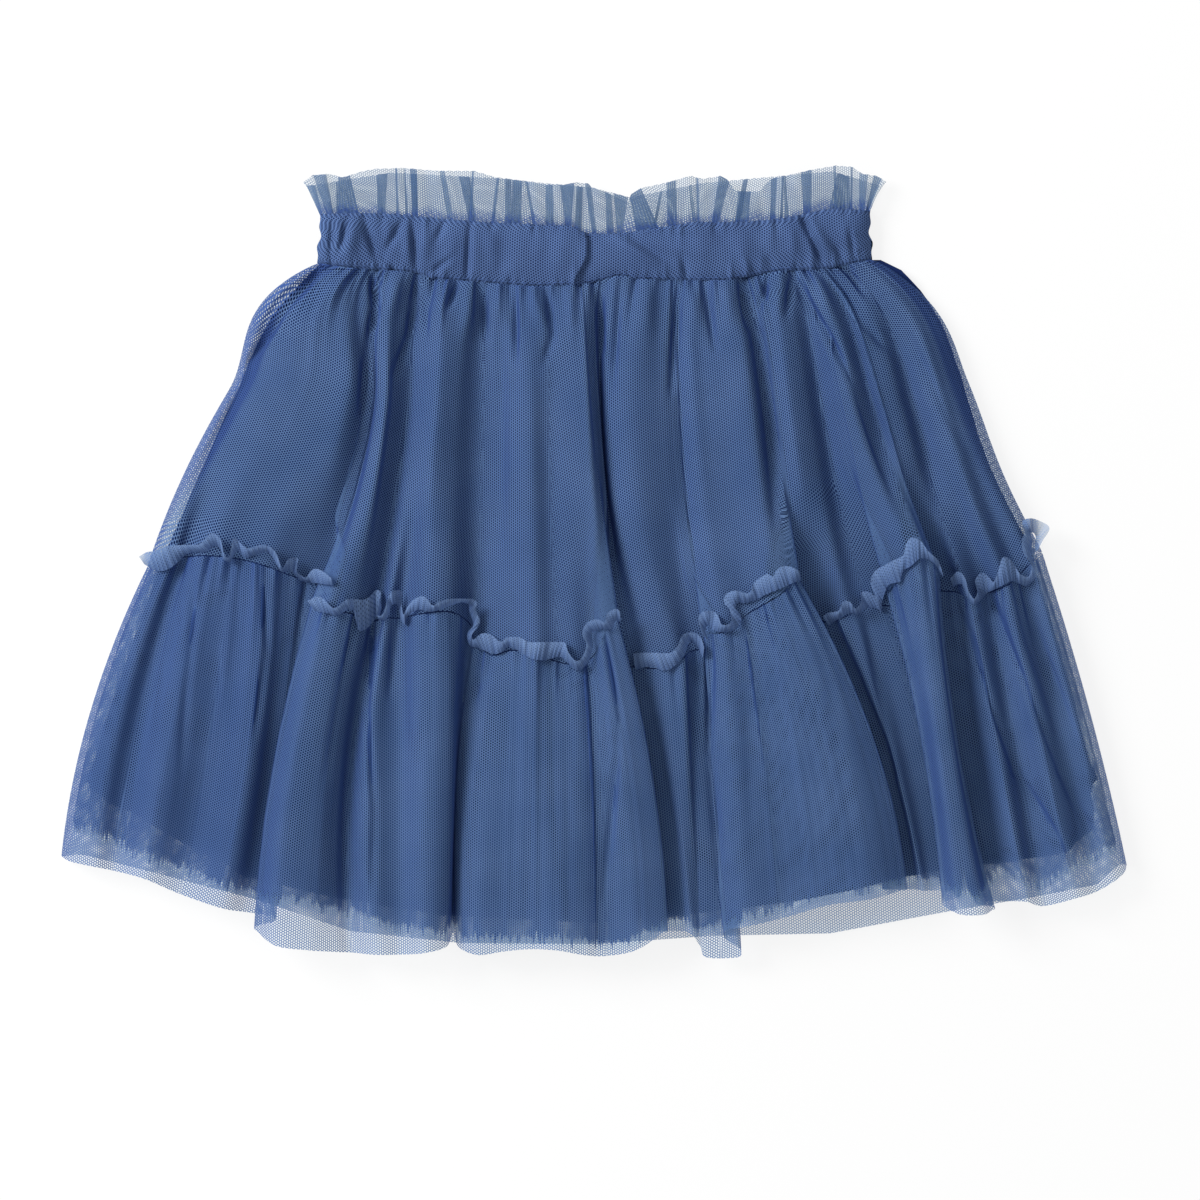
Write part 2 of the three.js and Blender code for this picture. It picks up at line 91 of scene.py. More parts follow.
def startMaterial(name):
    material = bpy.data.materials.new(name)
    material.use_nodes = True
    tree = material.node_tree
    tree.nodes.clear()
    return material, tree, tree.nodes.new("ShaderNodeOutputMaterial")


def mathNode(tree, operation, a, b=None, **settings):
    links = {0: a} if b is None else {0: a, 1: b}
    return addNode(tree, "ShaderNodeMath", links, operation=operation, **settings).outputs[0]


def mixColours(tree, share, first, second):
    return addNode(tree, "ShaderNodeMix", {0: share, 6: first, 7: second}, data_type="RGBA").outputs[2]


def markNode(tree, name):
    return addNode(tree, "ShaderNodeAttribute", attribute_name=name).outputs["Fac"]


# Slow changes of tone over the cloth, about "scale" of them to a metre
def cloudNoise(tree, scale):
    place = addNode(tree, "ShaderNodeTexCoord").outputs["Object"]
    return addNode(tree, "ShaderNodeTexNoise", {"Vector": place, "Scale": scale, "Detail": 1.0}).outputs[0]


def clothShader(tree, setup, colour, **more):
    links = {"Base Color": colour, "Roughness": setup["roughness"], "Specular IOR Level": setup["specular"]}
    return addNode(tree, "ShaderNodeBsdfPrincipled", {**links, **more}).outputs[0]


def relief(tree, setup, height):
    links = {"Height": height, "Distance": setup["relief"] * mm, "Strength": setup["strength"]}
    return addNode(tree, "ShaderNodeBump", links).outputs[0]


# Height of a hexagonal mesh at each point: high in the middle of a hole, low on the threads. Three
# sets of waves at 60 degrees, one period apart, make it. The cloth map is in metres.
def hexMesh(tree, pitch):
    cloth = addNode(tree, "ShaderNodeUVMap", uv_map="cloth").outputs[0]
    wave = 2 * math.pi * 2 / math.sqrt(3) / (pitch * mm)
    total = 0.0
    for degrees in (0, 60, 120):
        angle = math.radians(degrees)
        across = (wave * math.cos(angle), wave * math.sin(angle), 0)
        phase = addNode(tree, "ShaderNodeVectorMath", {0: cloth, 1: across}, operation="DOT_PRODUCT")
        total = mathNode(tree, "ADD", total, mathNode(tree, "COSINE", phase.outputs["Value"]))
    return total


# Soft nylon tulle, warp-knitted in a hexagonal mesh: matt threads with the light coming between
# them, so one layer is a grey-blue veil and several together are a deep blue.
netSetup = {
    "pitch": 1.1,  # mm from hole to hole; really about 1.0, drawn a little coarser so that it shows
    "thread": "#7392c1",
    "shade": "#5777a7",
    "crushed": "#44609e",  # threads pressed together in gathers and on steep folds; the darker colour is partly painted shade
    "deepens": 0.8,  # how far crushed and shaded cloth takes that colour
    "cover": -0.35,  # level below which the mesh is thread: half of the area
    "hole": 0.0,
    "solid": 1.0,
    "edge": 0.15,
    "dense": 0.3,  # how much of the hole crushed cloth closes
    "through": 0.3,  # share of the thread's light that comes from behind
    "clear": (0.9, 0.94, 0.95, 1),  # light between the threads, a little blue from fine fibres
    "roughness": 0.9,
    "specular": 0.12,
    "cloud": 45.0,
}


def netMaterial(name, base, **changes):
    setup = {**base, **changes}
    material, tree, output = startMaterial(name)
    crush = markNode(tree, "crush")
    closed = mathNode(tree, "MULTIPLY", crush, setup["dense"])
    mesh = mathNode(tree, "SUBTRACT", hexMesh(tree, setup["pitch"]), closed)
    level = setup["cover"]
    mask = addNode(
        tree, "ShaderNodeMapRange",
        {"Value": mesh, "From Min": level + setup["edge"], "From Max": level - setup["edge"],
         "To Min": setup["hole"], "To Max": setup["solid"]}).outputs[0]
    if setup.get("streaks"):  # the cut edge fades in fine upright streaks
        cloth = addNode(tree, "ShaderNodeUVMap", uv_map="cloth").outputs[0]
        drawn = addNode(tree, "ShaderNodeVectorMath", {0: cloth, 1: setup["streaks"]}, operation="MULTIPLY")
        links = {"Vector": drawn.outputs[0], "Scale": 1.0, "Detail": 1.0}
        streak = addNode(tree, "ShaderNodeTexNoise", links).outputs[0]
        left = mathNode(tree, "SUBTRACT", streak, markNode(tree, "fade"))
        keep = addNode(tree, "ShaderNodeMapRange", {"Value": left, "From Min": -0.05, "From Max": 0.06})
        mask = mathNode(tree, "MULTIPLY", mask, keep.outputs[0])
    tone = cloudNoise(tree, setup["cloud"])
    colour = mixColours(tree, tone, linear(setup["shade"]), linear(setup["thread"]))
    # Painted shade: the crush mark, which also holds painted shade, darkens the threads toward the crushed
    # colour
    deep = mathNode(tree, "MULTIPLY", crush, setup["deepens"], use_clamp=True)
    colour = mixColours(tree, deep, colour, linear(setup["crushed"]))
    cloth = clothShader(tree, setup, colour)
    glow = addNode(tree, "ShaderNodeBsdfTranslucent", {"Color": colour})
    thin = addNode(tree, "ShaderNodeMixShader", {0: setup["through"], 1: cloth, 2: glow.outputs[0]})
    clear = addNode(tree, "ShaderNodeBsdfTransparent", {"Color": setup["clear"]})
    mixed = addNode(tree, "ShaderNodeMixShader", {0: mask, 1: clear.outputs[0], 2: thin.outputs[0]})
    tree.links.new(mixed.outputs[0], output.inputs["Surface"])
    return material


# Plain woven cotton, piece-dyed: flat and matt, with a faint weave
liningSetup = {
    "colour": "#20356c",
    "deep": "#192957",
    "yarn": 0.35,  # mm from yarn to yarn
    "relief": 0.1,
    "strength": 0.5,
    "roughness": 0.9,
    "specular": 0.1,
    "cloud": 60.0,
}


def liningMaterial(name, setup):
    material, tree, output = startMaterial(name)
    place = addNode(tree, "ShaderNodeTexCoord").outputs["Object"]
    links = {"Vector": place, "Scale": 1 / (setup["yarn"] * mm), "Randomness": 0.3}
    weave = addNode(tree, "ShaderNodeTexVoronoi", links).outputs["Distance"]
    tone = cloudNoise(tree, setup["cloud"])
    colour = mixColours(tree, tone, linear(setup["deep"]), linear(setup["colour"]))
    cloth = clothShader(tree, setup, colour, Normal=relief(tree, setup, weave))
    tree.links.new(cloth, output.inputs["Surface"])
    return material


# Net doubled over a woven casing: nothing shows through, but the holes are darker than the threads: the dark
# cloth beneath, with painted shade under the net
casingSetup = {
    "thread": "#5c77a8",
    # the hole colour is the casing cloth under the net plus painted shade
    "hole": "#122148",
    "pitch": 1.15,  # really about 1.0, drawn a little coarser so that it shows
    "holeLevels": (-0.6, 1.0),
    "relief": -0.08,  # the holes are sunk
    "strength": 0.6,
    "roughness": 0.88,
    "specular": 0.1,
    "cloud": 70.0,
    "tone": 0.35,
}


def casingMaterial(name, setup):
    material, tree, output = startMaterial(name)
    mesh = hexMesh(tree, setup["pitch"])
    low, high = setup["holeLevels"]
    mask = addNode(tree, "ShaderNodeMapRange", {"Value": mesh, "From Min": low, "From Max": high})
    tone = mathNode(tree, "MULTIPLY", cloudNoise(tree, setup["cloud"]), setup["tone"])
    share = mathNode(tree, "ADD", mask.outputs[0], tone, use_clamp=True)
    colour = mixColours(tree, share, linear(setup["thread"]), linear(setup["hole"]))
    cloth = clothShader(tree, setup, colour, Normal=relief(tree, setup, mesh))
    tree.links.new(cloth, output.inputs["Surface"])
    return material


tulle = netMaterial("tulle_warp_knit", netSetup)
# The under layer: the same tulle in darker blues than the outer net, painted shade beneath it
tulleUnderShaded = netMaterial(
    "tulle_gathered_under_shaded", netSetup, dense=1.0, cover=-0.1, hole=0.05, solid=0.98, thread="#5673ad",
    shade="#415d97", crushed="#324d88", streaks=(1100.0, 28.0, 0.0))
tulleBack = netMaterial("tulle_back_panel", netSetup, hole=0.2, solid=0.85)
tulleFrill = netMaterial(
    "tulle_gathered_edge", netSetup, pitch=1.0, thread="#6480a8", shade="#546f98", cover=-0.75, dense=2.0,
    hole=0.1, solid=0.85)
tulleHeading = netMaterial(
    "tulle_doubled_heading", netSetup, pitch=1.0, thread="#7d98c2", shade="#6984b0", crushed="#4a659a",
    cover=0.9, hole=0.45, dense=1.3)
liningCotton = liningMaterial("cotton_lawn_lining", liningSetup)
casingNet = casingMaterial("tulle_over_casing", casingSetup)
print("materials made")


# Lines of the front, as in the solids: across at the waist, half way down the upper tier, at the
# tier seam and at the hem; heights; how far the line bows aside; how far it is tucked under.
foldColumns = ("waist", "mid", "midZ", "seam", "seamY", "seamZ", "hem", "hemY", "hemZ", "bow", "tuck")
foldRows = [
    [-115.5, -159, 2.2, -187, -1, 2.2, -223.5, -123.5, 2.2, -6, 0],
    [-114, -156, 7.2, -183.5, 0.5, 9, -219, -125.5, 8.5, -5.5, 0],
    [-110.5, -152, 6.4, -176.5, 1.5, 11.5, -209, -127.5, 12, -5, 0],
    [-108, -145.5, 11, -171.5, 2, 9, -200, -129.5, 9, -3.5, 0],
    [-105, -135, 13.5, -162, 2.5, 14.5, -187.5, -132.5, 15, -1, 0],
    [-102, -124.5, 14.5, -150.5, 1.5, 14.5, -173, -139, 10.5, 2, 0],
    [-99, -114, 15.5, -138, -1.5, 16, -156, -144.5, 15, 4, 0],
    [-96.5, -104.5, 16.5, -127.5, -5.5, 12.5, -146, -146.5, 9.5, 1, 0],
    [-94, -98.5, 12, -116, -9, 9.5, -135, -148, 9, -2, 0],
    [-90.5, -96, 9.5, -118, -18.5, 16, -142, -154.5, 15, -4, -9],
    [-88, -93, 14, -110.5, -20.5, 21, -132.5, -160, 21, -4, 0],
    [-82.5, -88.5, 17, -102, -21.5, 19, -118.5, -162, 19, -3, 0],
    [-77, -86, 13, -96.5, -23, 15, -107.5, -163, 13.5, -5, 0],
    [-71.5, -80.5, 8.5, -91.5, -24.5, 9.5, -101.5, -163.5, 9.5, -6, 0],
    [-68, -76, 12, -86.5, -23.5, 14, -90.5, -164, 17, -6, 0],
    [-64.5, -71.5, 16, -81, -23.5, 11, -80.5, -164, 15, -1, 0],
    [-59.5, -66.5, 18.5, -70.5, -21.5, 20, -70.5, -163, 21, 0, 0],
    [-53, -58.5, 15, -59.5, -21, 19, -61.5, -160.5, 17, 1, 0],
    [-48.5, -51.5, 10, -52, -26, 11, -59, -155, 9, -2, 0],
    [-45.5, -46, 9, -49.5, -33.5, 10, -56.5, -161, 12, -4, 0],
    [-40.5, -39, 10.5, -43, -39, 13, -48.5, -164, 18, -3, 0],
    [-34.5, -34, 15.5, -34.5, -37, 15, -37.5, -162.5, 18, 0, 0],
    [-27, -26, 18, -24.5, -38.5, 19, -26, -161.5, 19, 0, 0],
    [-20, -19, 15.5, -16, -41.5, 17, -15, -162, 21, 0, 0],
    [-14.5, -12, 17, -7.5, -43, 18, -4, -164, 19, 1, 0],
    [-9, -5, 18.5, -1, -40, 17, 5, -164.5, 16, 2, 0],
    [-5.5, -1, 19, 4, -31, 21, 17.5, -162, 18, 3, 0],
    [-2.5, 2.5, 16.5, 10.5, -22.5, 20, 31, -154.5, 16, 4, 9],
    [3.5, 4.5, 7.5, 17.5, -44, 9.5, 37, -154.5, 9.5, 3, 0],
    [11, 7.5, 13.5, 27, -44.5, 13, 41, -156, 11, 1, 0],
    [20, 17, 17, 36, -40.5, 14, 44.5, -161, 9.5, 0, 0],
    [28.5, 29.5, 14, 42, -37, 10, 47, -165.5, 9.5, -1, 0],
    [34.5, 35.5, 11, 46, -30, 16, 54, -153.5, 15, -1, -8],
    [40.5, 43.5, 15, 54.5, -29, 20, 64, -152, 20, 0, 0],
    [48, 54.5, 15, 64.5, -21.5, 19, 80.5, -148, 19, 2, 0],
    [56.5, 67.5, 17.5, 73, -16.5, 22.5, 97.5, -143, 22, 4, 0],
    [62, 72, 11, 79, -12.5, 24, 115, -140.5, 23, 6, 0],
    [65.5, 77.5, 12, 86, -6.5, 21, 130.5, -137, 17, 8, 10],
    [71.5, 84, 17, 98.5, -25, 9.5, 133.5, -137, 9.5, 6, 0],
    [77.5, 91.5, 13.5, 106, -22.5, 13, 137.5, -137.5, 12, 3, 0],
    [82.5, 97, 8.5, 113.5, -18.5, 10, 141.5, -137.5, 9.5, 3, 0],
    [85.5, 104.5, 17, 122.5, -11, 17, 145.5, -144.5, 16, 3, -8],
    [90, 111.5, 17.5, 130, -1.5, 23, 153, -147, 22, 1, 0],
    [94, 117, 11.5, 139, 2, 24, 162, -147, 22, -2, 0],
    [96.5, 124, 16, 144.5, -5, 19, 167.5, -145.5, 16, -4, 8],
    [101, 131, 13, 150.5, -12.5, 9.5, 172, -142, 9.5, -2, 0],
    [104.5, 136.5, 8, 157, -16, 15, 180.5, -142, 15, 0, 0],
    [107.5, 143, 13.5, 164.5, -13, 10, 188, -144, 10, 0, 0],
    [110.5, 148, 15.5, 172, -10, 15.5, 201, -140.5, 16, 0, 0],
    [112.5, 151.5, 13, 178, -5, 11, 210, -138, 10.5, 0, 0],
    [114, 155, 11, 183, 0, 13, 217.5, -133.5, 12, 1, 0],
    [115.5, 158.5, 7.2, 186.5, 2.5, 9, 222, -130, 8, 2, 0],
    [116.5, 161, 2.2, 188, 4, 2.2, 223.5, -127, 2.2, 2, 0],
]
folds = [dict(zip(foldColumns, row)) for row in foldRows]


# Outlines as x, y from left to right
frillTop = [
    (-122, 159), (-118, 162), (-110.5, 162.5), (-105.5, 161), (-97.5, 163.5), (-91.5, 164.7), (-80.5, 165),
    (-65, 163.8), (-50.5, 163.8), (-40.5, 161), (-29, 159.6), (-20, 158), (-12.5, 158), (-7.5, 159),
    (-2.5, 158.5), (-1, 157), (7, 154), (14.3, 150.7), (15.5, 154), (19.7, 156.6), (30.2, 158.8),
    (40.3, 161.7), (45.4, 160.4), (53.3, 161.7), (56, 160), (59.2, 155.4), (69, 155), (74, 160.4),
    (80, 161.7), (91, 164.2), (101.2, 166), (108, 165.5), (112.5, 162.5), (118.5, 161.7), (122.5, 159.2),
]
backFrillTop = [(-119, 158), (-85, 163.5), (-40, 161), (0, 157), (15, 153), (45, 159), (100, 164), (120, 158)]
casingTop = [
    (-114.5, 145.7), (-99, 146.2), (-84, 145.8), (-63.5, 143.7), (-46, 142.4), (-29, 141.6), (-9.2, 140.7),
    (-3.4, 137.8), (7, 137.4), (24, 139.5), (42, 142.4), (62.6, 142.4), (80, 144), (97, 147.8),
    (115.5, 147.5),
]
casingBottom = [
    (-116, 125.5), (-104.5, 123.5), (-84, 122.2), (-74.3, 121.4), (-67.6, 118.9), (-55.5, 118),
    (-24.8, 115.5), (-10, 116.3), (-6, 116), (11.3, 120.2), (16.4, 118.8), (54.2, 118), (78, 122.2),
    (97, 123), (116.5, 127),
]
backSeam = [(-187, -2), (-120, -24), (-40, -38), (40, -38), (120, -22), (188, 1)]
backHem = [
    (-222, -121), (-186.5, -130), (-141, -142), (-102.5, -155), (-56.5, -160), (0, -160.5), (50, -157),
    (99, -156), (147.5, -147), (183, -141), (219, -134), (222, -126),
]
liningHem = [
    (-213.8, -92), (-208, -95), (-201, -99), (-192, -104), (-178, -112), (-160, -123), (-141, -132),
    (-110, -139), (-84, -144), (-60, -148), (0, -151), (45, -147), (80, -142), (105, -137), (130, -131),
    (150, -128), (175, -125), (197, -121), (206, -111), (209, -93), (214, -89),
]
underNetHem = [
    (-219, -113), (-195, -123), (-162, -136), (-141, -141.5), (-110, -147), (-84, -154), (-58, -159),
    (-30, -160), (0, -162), (30, -160), (50, -155), (68, -150), (88, -152), (119, -147), (142, -136),
    (160, -143), (172, -132), (188, -137), (202, -131), (217, -122),
]


def smooth(x, low, high):
    t = np.clip((x - low) / (high - low), 0, 1)
    return t * t * (3 - 2 * t)


def lerp(a, b, t):
    return a + (b - a) * t


# Each value as the mean of its neighbours, "reach" to either side
def smoothed(line, reach):
    return np.convolve(np.pad(line, reach, "edge"), np.ones(2 * reach + 1) / (2 * reach + 1), "valid")


def outlineAt(points, x):
    return np.interp(x, [p[0] for p in points], [p[1] for p in points])


# Threads of the front, from waist to hem: one for each plain line, six round each tucked fold
edge = {"radius": 1.6, "flatStep": 0.8, "starts": 2.5, "whole": 6.0, "steps": 5}
casing = {"half": 116.0, "height": 6.4, "wall": 2.4, "puff": 1.4, "drop": 2.5, "side": 7.0}
upperTier = {
    "waist": 6.2, "swell": 0.12, "flare": (-10.0, 5.0), "flareEnd": 0.42, "side": 2.2, "shoulder": 1.5,
    "lobes": 0.7, "rightBow": 4.0,
    "flareGain": 6.75}  # the flare's curve, down * (1 - down) ** 2, is 1 / 6.75 at its widest
lowerTier = {"puff": 1.5}
ease = 0.25
threads = []
for place, fold in enumerate(folds):
    turn = int(np.sign(fold["tuck"]))
    under = folds[place + turn] if turn else None
    for k in range(edge["steps"] + 1 if turn else 1):
        threads.append((fold, under, k if turn >= 0 else edge["steps"] - k, turn))


def aroundEdge(fold, step, turn, x, z, low, share):
    if not turn:
        return x, z
    r = edge["radius"]
    reach = abs(fold["tuck"])
    whole = share * smooth(z - low, edge["starts"], edge["whole"])
    back = [r, 0, r, reach - r, reach, reach - r][step]
    height = [z, z - r, z - 2 * r, low + 2 * r, low + r, low][step]
    plainBack = (edge["steps"] / 2 - step) * edge["flatStep"]
    plainZ = lerp(z, (z + low) / 2, step / edge["steps"])
    return x - turn * lerp(plainBack, back, whole), lerp(plainZ, height, whole)


def upperHeight(fold, v):
    swollen = upperTier["waist"] + upperTier["swell"] * (fold["midZ"] - upperTier["waist"])
    waist = upperTier["side"] if fold["midZ"] == upperTier["side"] else swollen
    down = lerp(waist, fold["midZ"], np.sin(np.pi * np.minimum(v, 0.5)) ** upperTier["lobes"])
    return np.where(v < 0.5, down, lerp(fold["midZ"], fold["seamZ"], smooth(v, 0.5, 1)))


def lowerHeight(fold, v):
    puff = lowerTier["puff"] * np.sin(np.pi * v) * smooth(fold["hemZ"], 9, 16)
    return lerp(fold["seamZ"], fold["hemZ"], smooth(v, 0, 1)) + puff


def upperThreads(v):
    lines = []
    for fold, under, step, turn in threads:
        waist = fold["waist"]
        flare = upperTier["flare"][0 if waist < 0 else 1] * abs(waist / casing["half"]) ** 4
        down = np.minimum(v / upperTier["flareEnd"], 1)
        hip = flare * upperTier["flareGain"] * down * (1 - down) ** 2
        shoulder = upperTier["shoulder"] * math.copysign(abs(waist / casing["half"]) ** 8, waist)
        hip = hip + shoulder * np.sqrt(np.minimum(v / 0.035, 1)) * (1 - smooth(v, 0.03, 0.5))
        bow = upperTier["rightBow"] * max(waist / casing["half"], 0) ** 4
        hip = hip + bow * np.sin(2 * np.pi * v)
        x = waist * (1 - v) * (1 - 2 * v) + fold["seam"] * v * (2 * v - 1) + fold["mid"] * 4 * v * (1 - v)
        low = upperHeight(under, v) if under else 0
        x, z = aroundEdge(fold, step, turn, x + hip, upperHeight(fold, v), low, smooth(v, 0.55, 0.95))
        seam = lerp(fold["seamY"], under["seamY"], step / edge["steps"]) if under else fold["seamY"]
        y = lerp(outlineAt(casingBottom, waist) - ease, seam + ease, v)
        lines.append(np.stack([x, y, z], -1))
    return np.stack(lines, 1)


def lowerThreads(v):
    lines = []
    for fold, under, step, turn in threads:
        x = lerp(fold["seam"], fold["hem"], v) + fold["bow"] * 4 * v * (1 - v)
        low = lowerHeight(under, v) if under else 0
        x, z = aroundEdge(fold, step, turn, x, lowerHeight(fold, v), low, 1)
        share = step / edge["steps"]
        seam = lerp(fold["seamY"], under["seamY"], share) if under else fold["seamY"]
        hem = lerp(fold["hemY"], under["hemY"], share) if under else fold["hemY"]
        lines.append(np.stack([x, lerp(seam - ease, hem, v), z], -1))
    return np.stack(lines, 1)


# A smooth curve through the threads at places s, for every row
def between(lines, s):
    last = lines.shape[1] - 1
    i = np.clip(np.floor(s).astype(int), 0, last - 1)
    t = (s - i)[None, :, None]
    a, b, c, d = (lines[:, np.clip(i + n, 0, last)] for n in (-1, 0, 1, 2))
    bend = (2 * a - 5 * b + 4 * c - d) * t * t + (3 * b - a - 3 * c + d) * t * t * t
    return 0.5 * (2 * b + (c - a) * t + bend)


# Places along the threads at even steps of cloth, measured on the last row
def evenPlaces(lines, spacing, start=0.0, end=None):
    s = np.arange(start, (lines.shape[1] - 1 if end is None else end) + 0.001, 0.02)
    path = between(lines[-1:], s)[0]
    along = np.concatenate([[0], np.cumsum(np.linalg.norm(np.diff(path, axis=0), axis=1))])
    count = int(along[-1] / spacing)
    return np.interp(np.linspace(0, along[-1], count + 1), along, s)


# The net's own map, in panels that meet in the valleys: the grain runs down the middle of each
def clothMap(points, valleys):
    along = alongRows(points)
    last = points.shape[1] - 1
    edges = [0] + [int(round(p * last)) for p in valleys] + [last]
    down = np.zeros(points.shape[:2])
    across = np.zeros(points.shape[:2])
    for k in range(len(edges) - 1):
        a, b = edges[k], edges[k + 1]
        centre = (a + b) // 2
        line = points[:, centre].copy()
        line[:, 0] = smoothed(line[:, 0], 10)
        step = np.gradient(line, axis=0)
        length = np.concatenate([[0], np.cumsum(np.linalg.norm(np.diff(line[:, :2], axis=0), axis=1))])
        lean = np.arctan2(step[:, 0], -step[:, 1])
        off = along[:, a:b + 1] - along[:, centre][:, None]
        offY = points[:, a:b + 1, 1] - line[:, 1][:, None]
        across[:, a:b + 1] = off * np.cos(lean)[:, None] + offY * np.sin(lean)[:, None] + 31.3 * k
        down[:, a:b + 1] = -length[:, None] - off * np.sin(lean)[:, None] + offY * np.cos(lean)[:, None]
    return np.stack([across, down], -1) * mm


def alongRows(points):
    steps = np.linalg.norm(np.diff(points, axis=1), axis=2)
    along = np.concatenate([np.zeros((len(points), 1)), np.cumsum(steps, axis=1)], axis=1)
    return along - along[:, points.shape[1] // 2][:, None]


# Direction that faces out of the cloth, across its folds
def outOf(points):
    ahead = np.roll(points, -1, axis=1)
    behind = np.roll(points, 1, axis=1)
    ahead[:, -1] = points[:, -1]
    behind[:, 0] = points[:, 0]
    d = ahead - behind
    out = np.stack([-d[..., 2], np.zeros(d.shape[:2]), d[..., 0]], -1)
    return out / np.maximum(np.linalg.norm(out, axis=2), 1e-9)[..., None]


# How steeply the cloth stands, as extra thread seen from above, and through the crushed colour as painted
# shade on steep folds
def steepness(points):
    ahead = np.gradient(points, axis=1)
    down = np.gradient(points, axis=0)
    n = np.cross(down, ahead)
    flat = np.abs(n[..., 2]) / np.maximum(np.linalg.norm(n, axis=2), 1e-12)
    return np.clip(1 / np.maximum(flat, 0.25) - 1, 0, 2)


def makeSheet(name, points, material, slot, uv=None, **marks):
    rows, across = points.shape[:2]
    mesh = bpy.data.meshes.new(name)
    place = (points + shift) * mm
    j, i = np.meshgrid(np.arange(rows - 1), np.arange(across - 1), indexing="ij")
    a = (j * across + i).ravel()
    quads = np.stack([a, a + across, a + across + 1, a + 1], -1)
    mesh.from_pydata(place.reshape(-1, 3).tolist(), [], quads.tolist())
    if uv is None:
        uv = np.stack([alongRows(points), points[..., 1]], -1) * mm
    layer = mesh.uv_layers.new(name="cloth")
    layer.data.foreach_set("uv", uv.reshape(-1, 2)[quads.ravel()].astype(np.float32).ravel())
    for label, values in marks.items():
        mark = mesh.attributes.new(label, "FLOAT", "POINT")
        mark.data.foreach_set("value", values.astype(np.float32).ravel())
    mesh.shade_smooth()
    mesh.materials.append(material)
    piece = bpy.data.objects.new(name, mesh)
    scene.collection.objects.link(piece)
    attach(piece, "root")
    return piece


# Soft ridges and troughs along the cloth from one edge, each with a place, width, height and length
def gathers(points, distance, marks):
    along = alongRows(points)
    rise = np.zeros(points.shape[:2])
    last = points.shape[1] - 1
    for place, width, height, length in marks:
        column = int(round(place * last))
        away = (along - along[:, column][:, None]) / width
        near = np.abs(away) < 3
        rise += np.where(near, height * np.exp(-away * away) * np.exp(-((distance / length) ** 1.5)), 0)
    return rise


# Ridges and troughs between two points in plan: x, y, x, y, half width, height
def creased(points, marks):
    x, y = points[..., 0], points[..., 1]
    rise = np.zeros(x.shape)
    for x0, y0, x1, y1, width, height in marks:
        dx, dy = x1 - x0, y1 - y0
        length = math.hypot(dx, dy)
        t = ((x - x0) * dx + (y - y0) * dy) / length ** 2
        side = np.abs((x - x0) * dy - (y - y0) * dx) / length
        past = np.maximum(np.maximum(-t, t - 1), 0) * length
        inside = np.clip(t, 0, 1)
        taper = 0.35 + 0.65 * np.sin(np.pi * inside)
        rise += height * taper * np.exp(-(side / width) ** 2 - (past / (1.5 * width)) ** 2)
    return rise


rng = np.random.default_rng(7)


def randomGathers(spacing, total, width, height, length):
    places = []
    at = spacing * rng.uniform(0.2, 1)
    while at < total:
        sign = 1 if len(places) % 2 == 0 else -1
        size = min(rng.exponential(0.75) + 0.15, 2.2)
        places.append((
            at / total, width * rng.uniform(0.6, 1.2) * (0.7 + 0.3 * size), sign * height * size,
            length * rng.uniform(0.3, 1.3) * (0.6 + 0.5 * size),
        ))
        at += spacing * rng.uniform(0.4, 1.6)
    return places


# A grid of points looked up between its rows and columns
def lookUp(points, row, column):
    j = np.clip(np.floor(row).astype(int), 0, points.shape[0] - 2)
    i = np.clip(np.floor(column).astype(int), 0, points.shape[1] - 2)
    a, b = (row - j)[..., None], (column - i)[..., None]
    upper = points[j, i] * (1 - b) + points[j, i + 1] * b
    lower = points[j + 1, i] * (1 - b) + points[j + 1, i + 1] * b
    return upper * (1 - a) + lower * a


# Shares of the width where the cloth lies lowest, near the middle row
def valleysOf(points, depth=2.0):
    z = smoothed(points[int(points.shape[0] * 0.6), :, 2], 6)
    found = []
    reach = 18
    for i in range(reach, len(z) - reach):
        near = z[i - reach:i + reach + 1]
        if z[i] == near.min() and near.max() - z[i] > depth:
            found.append(i / (len(z) - 1))
    return found


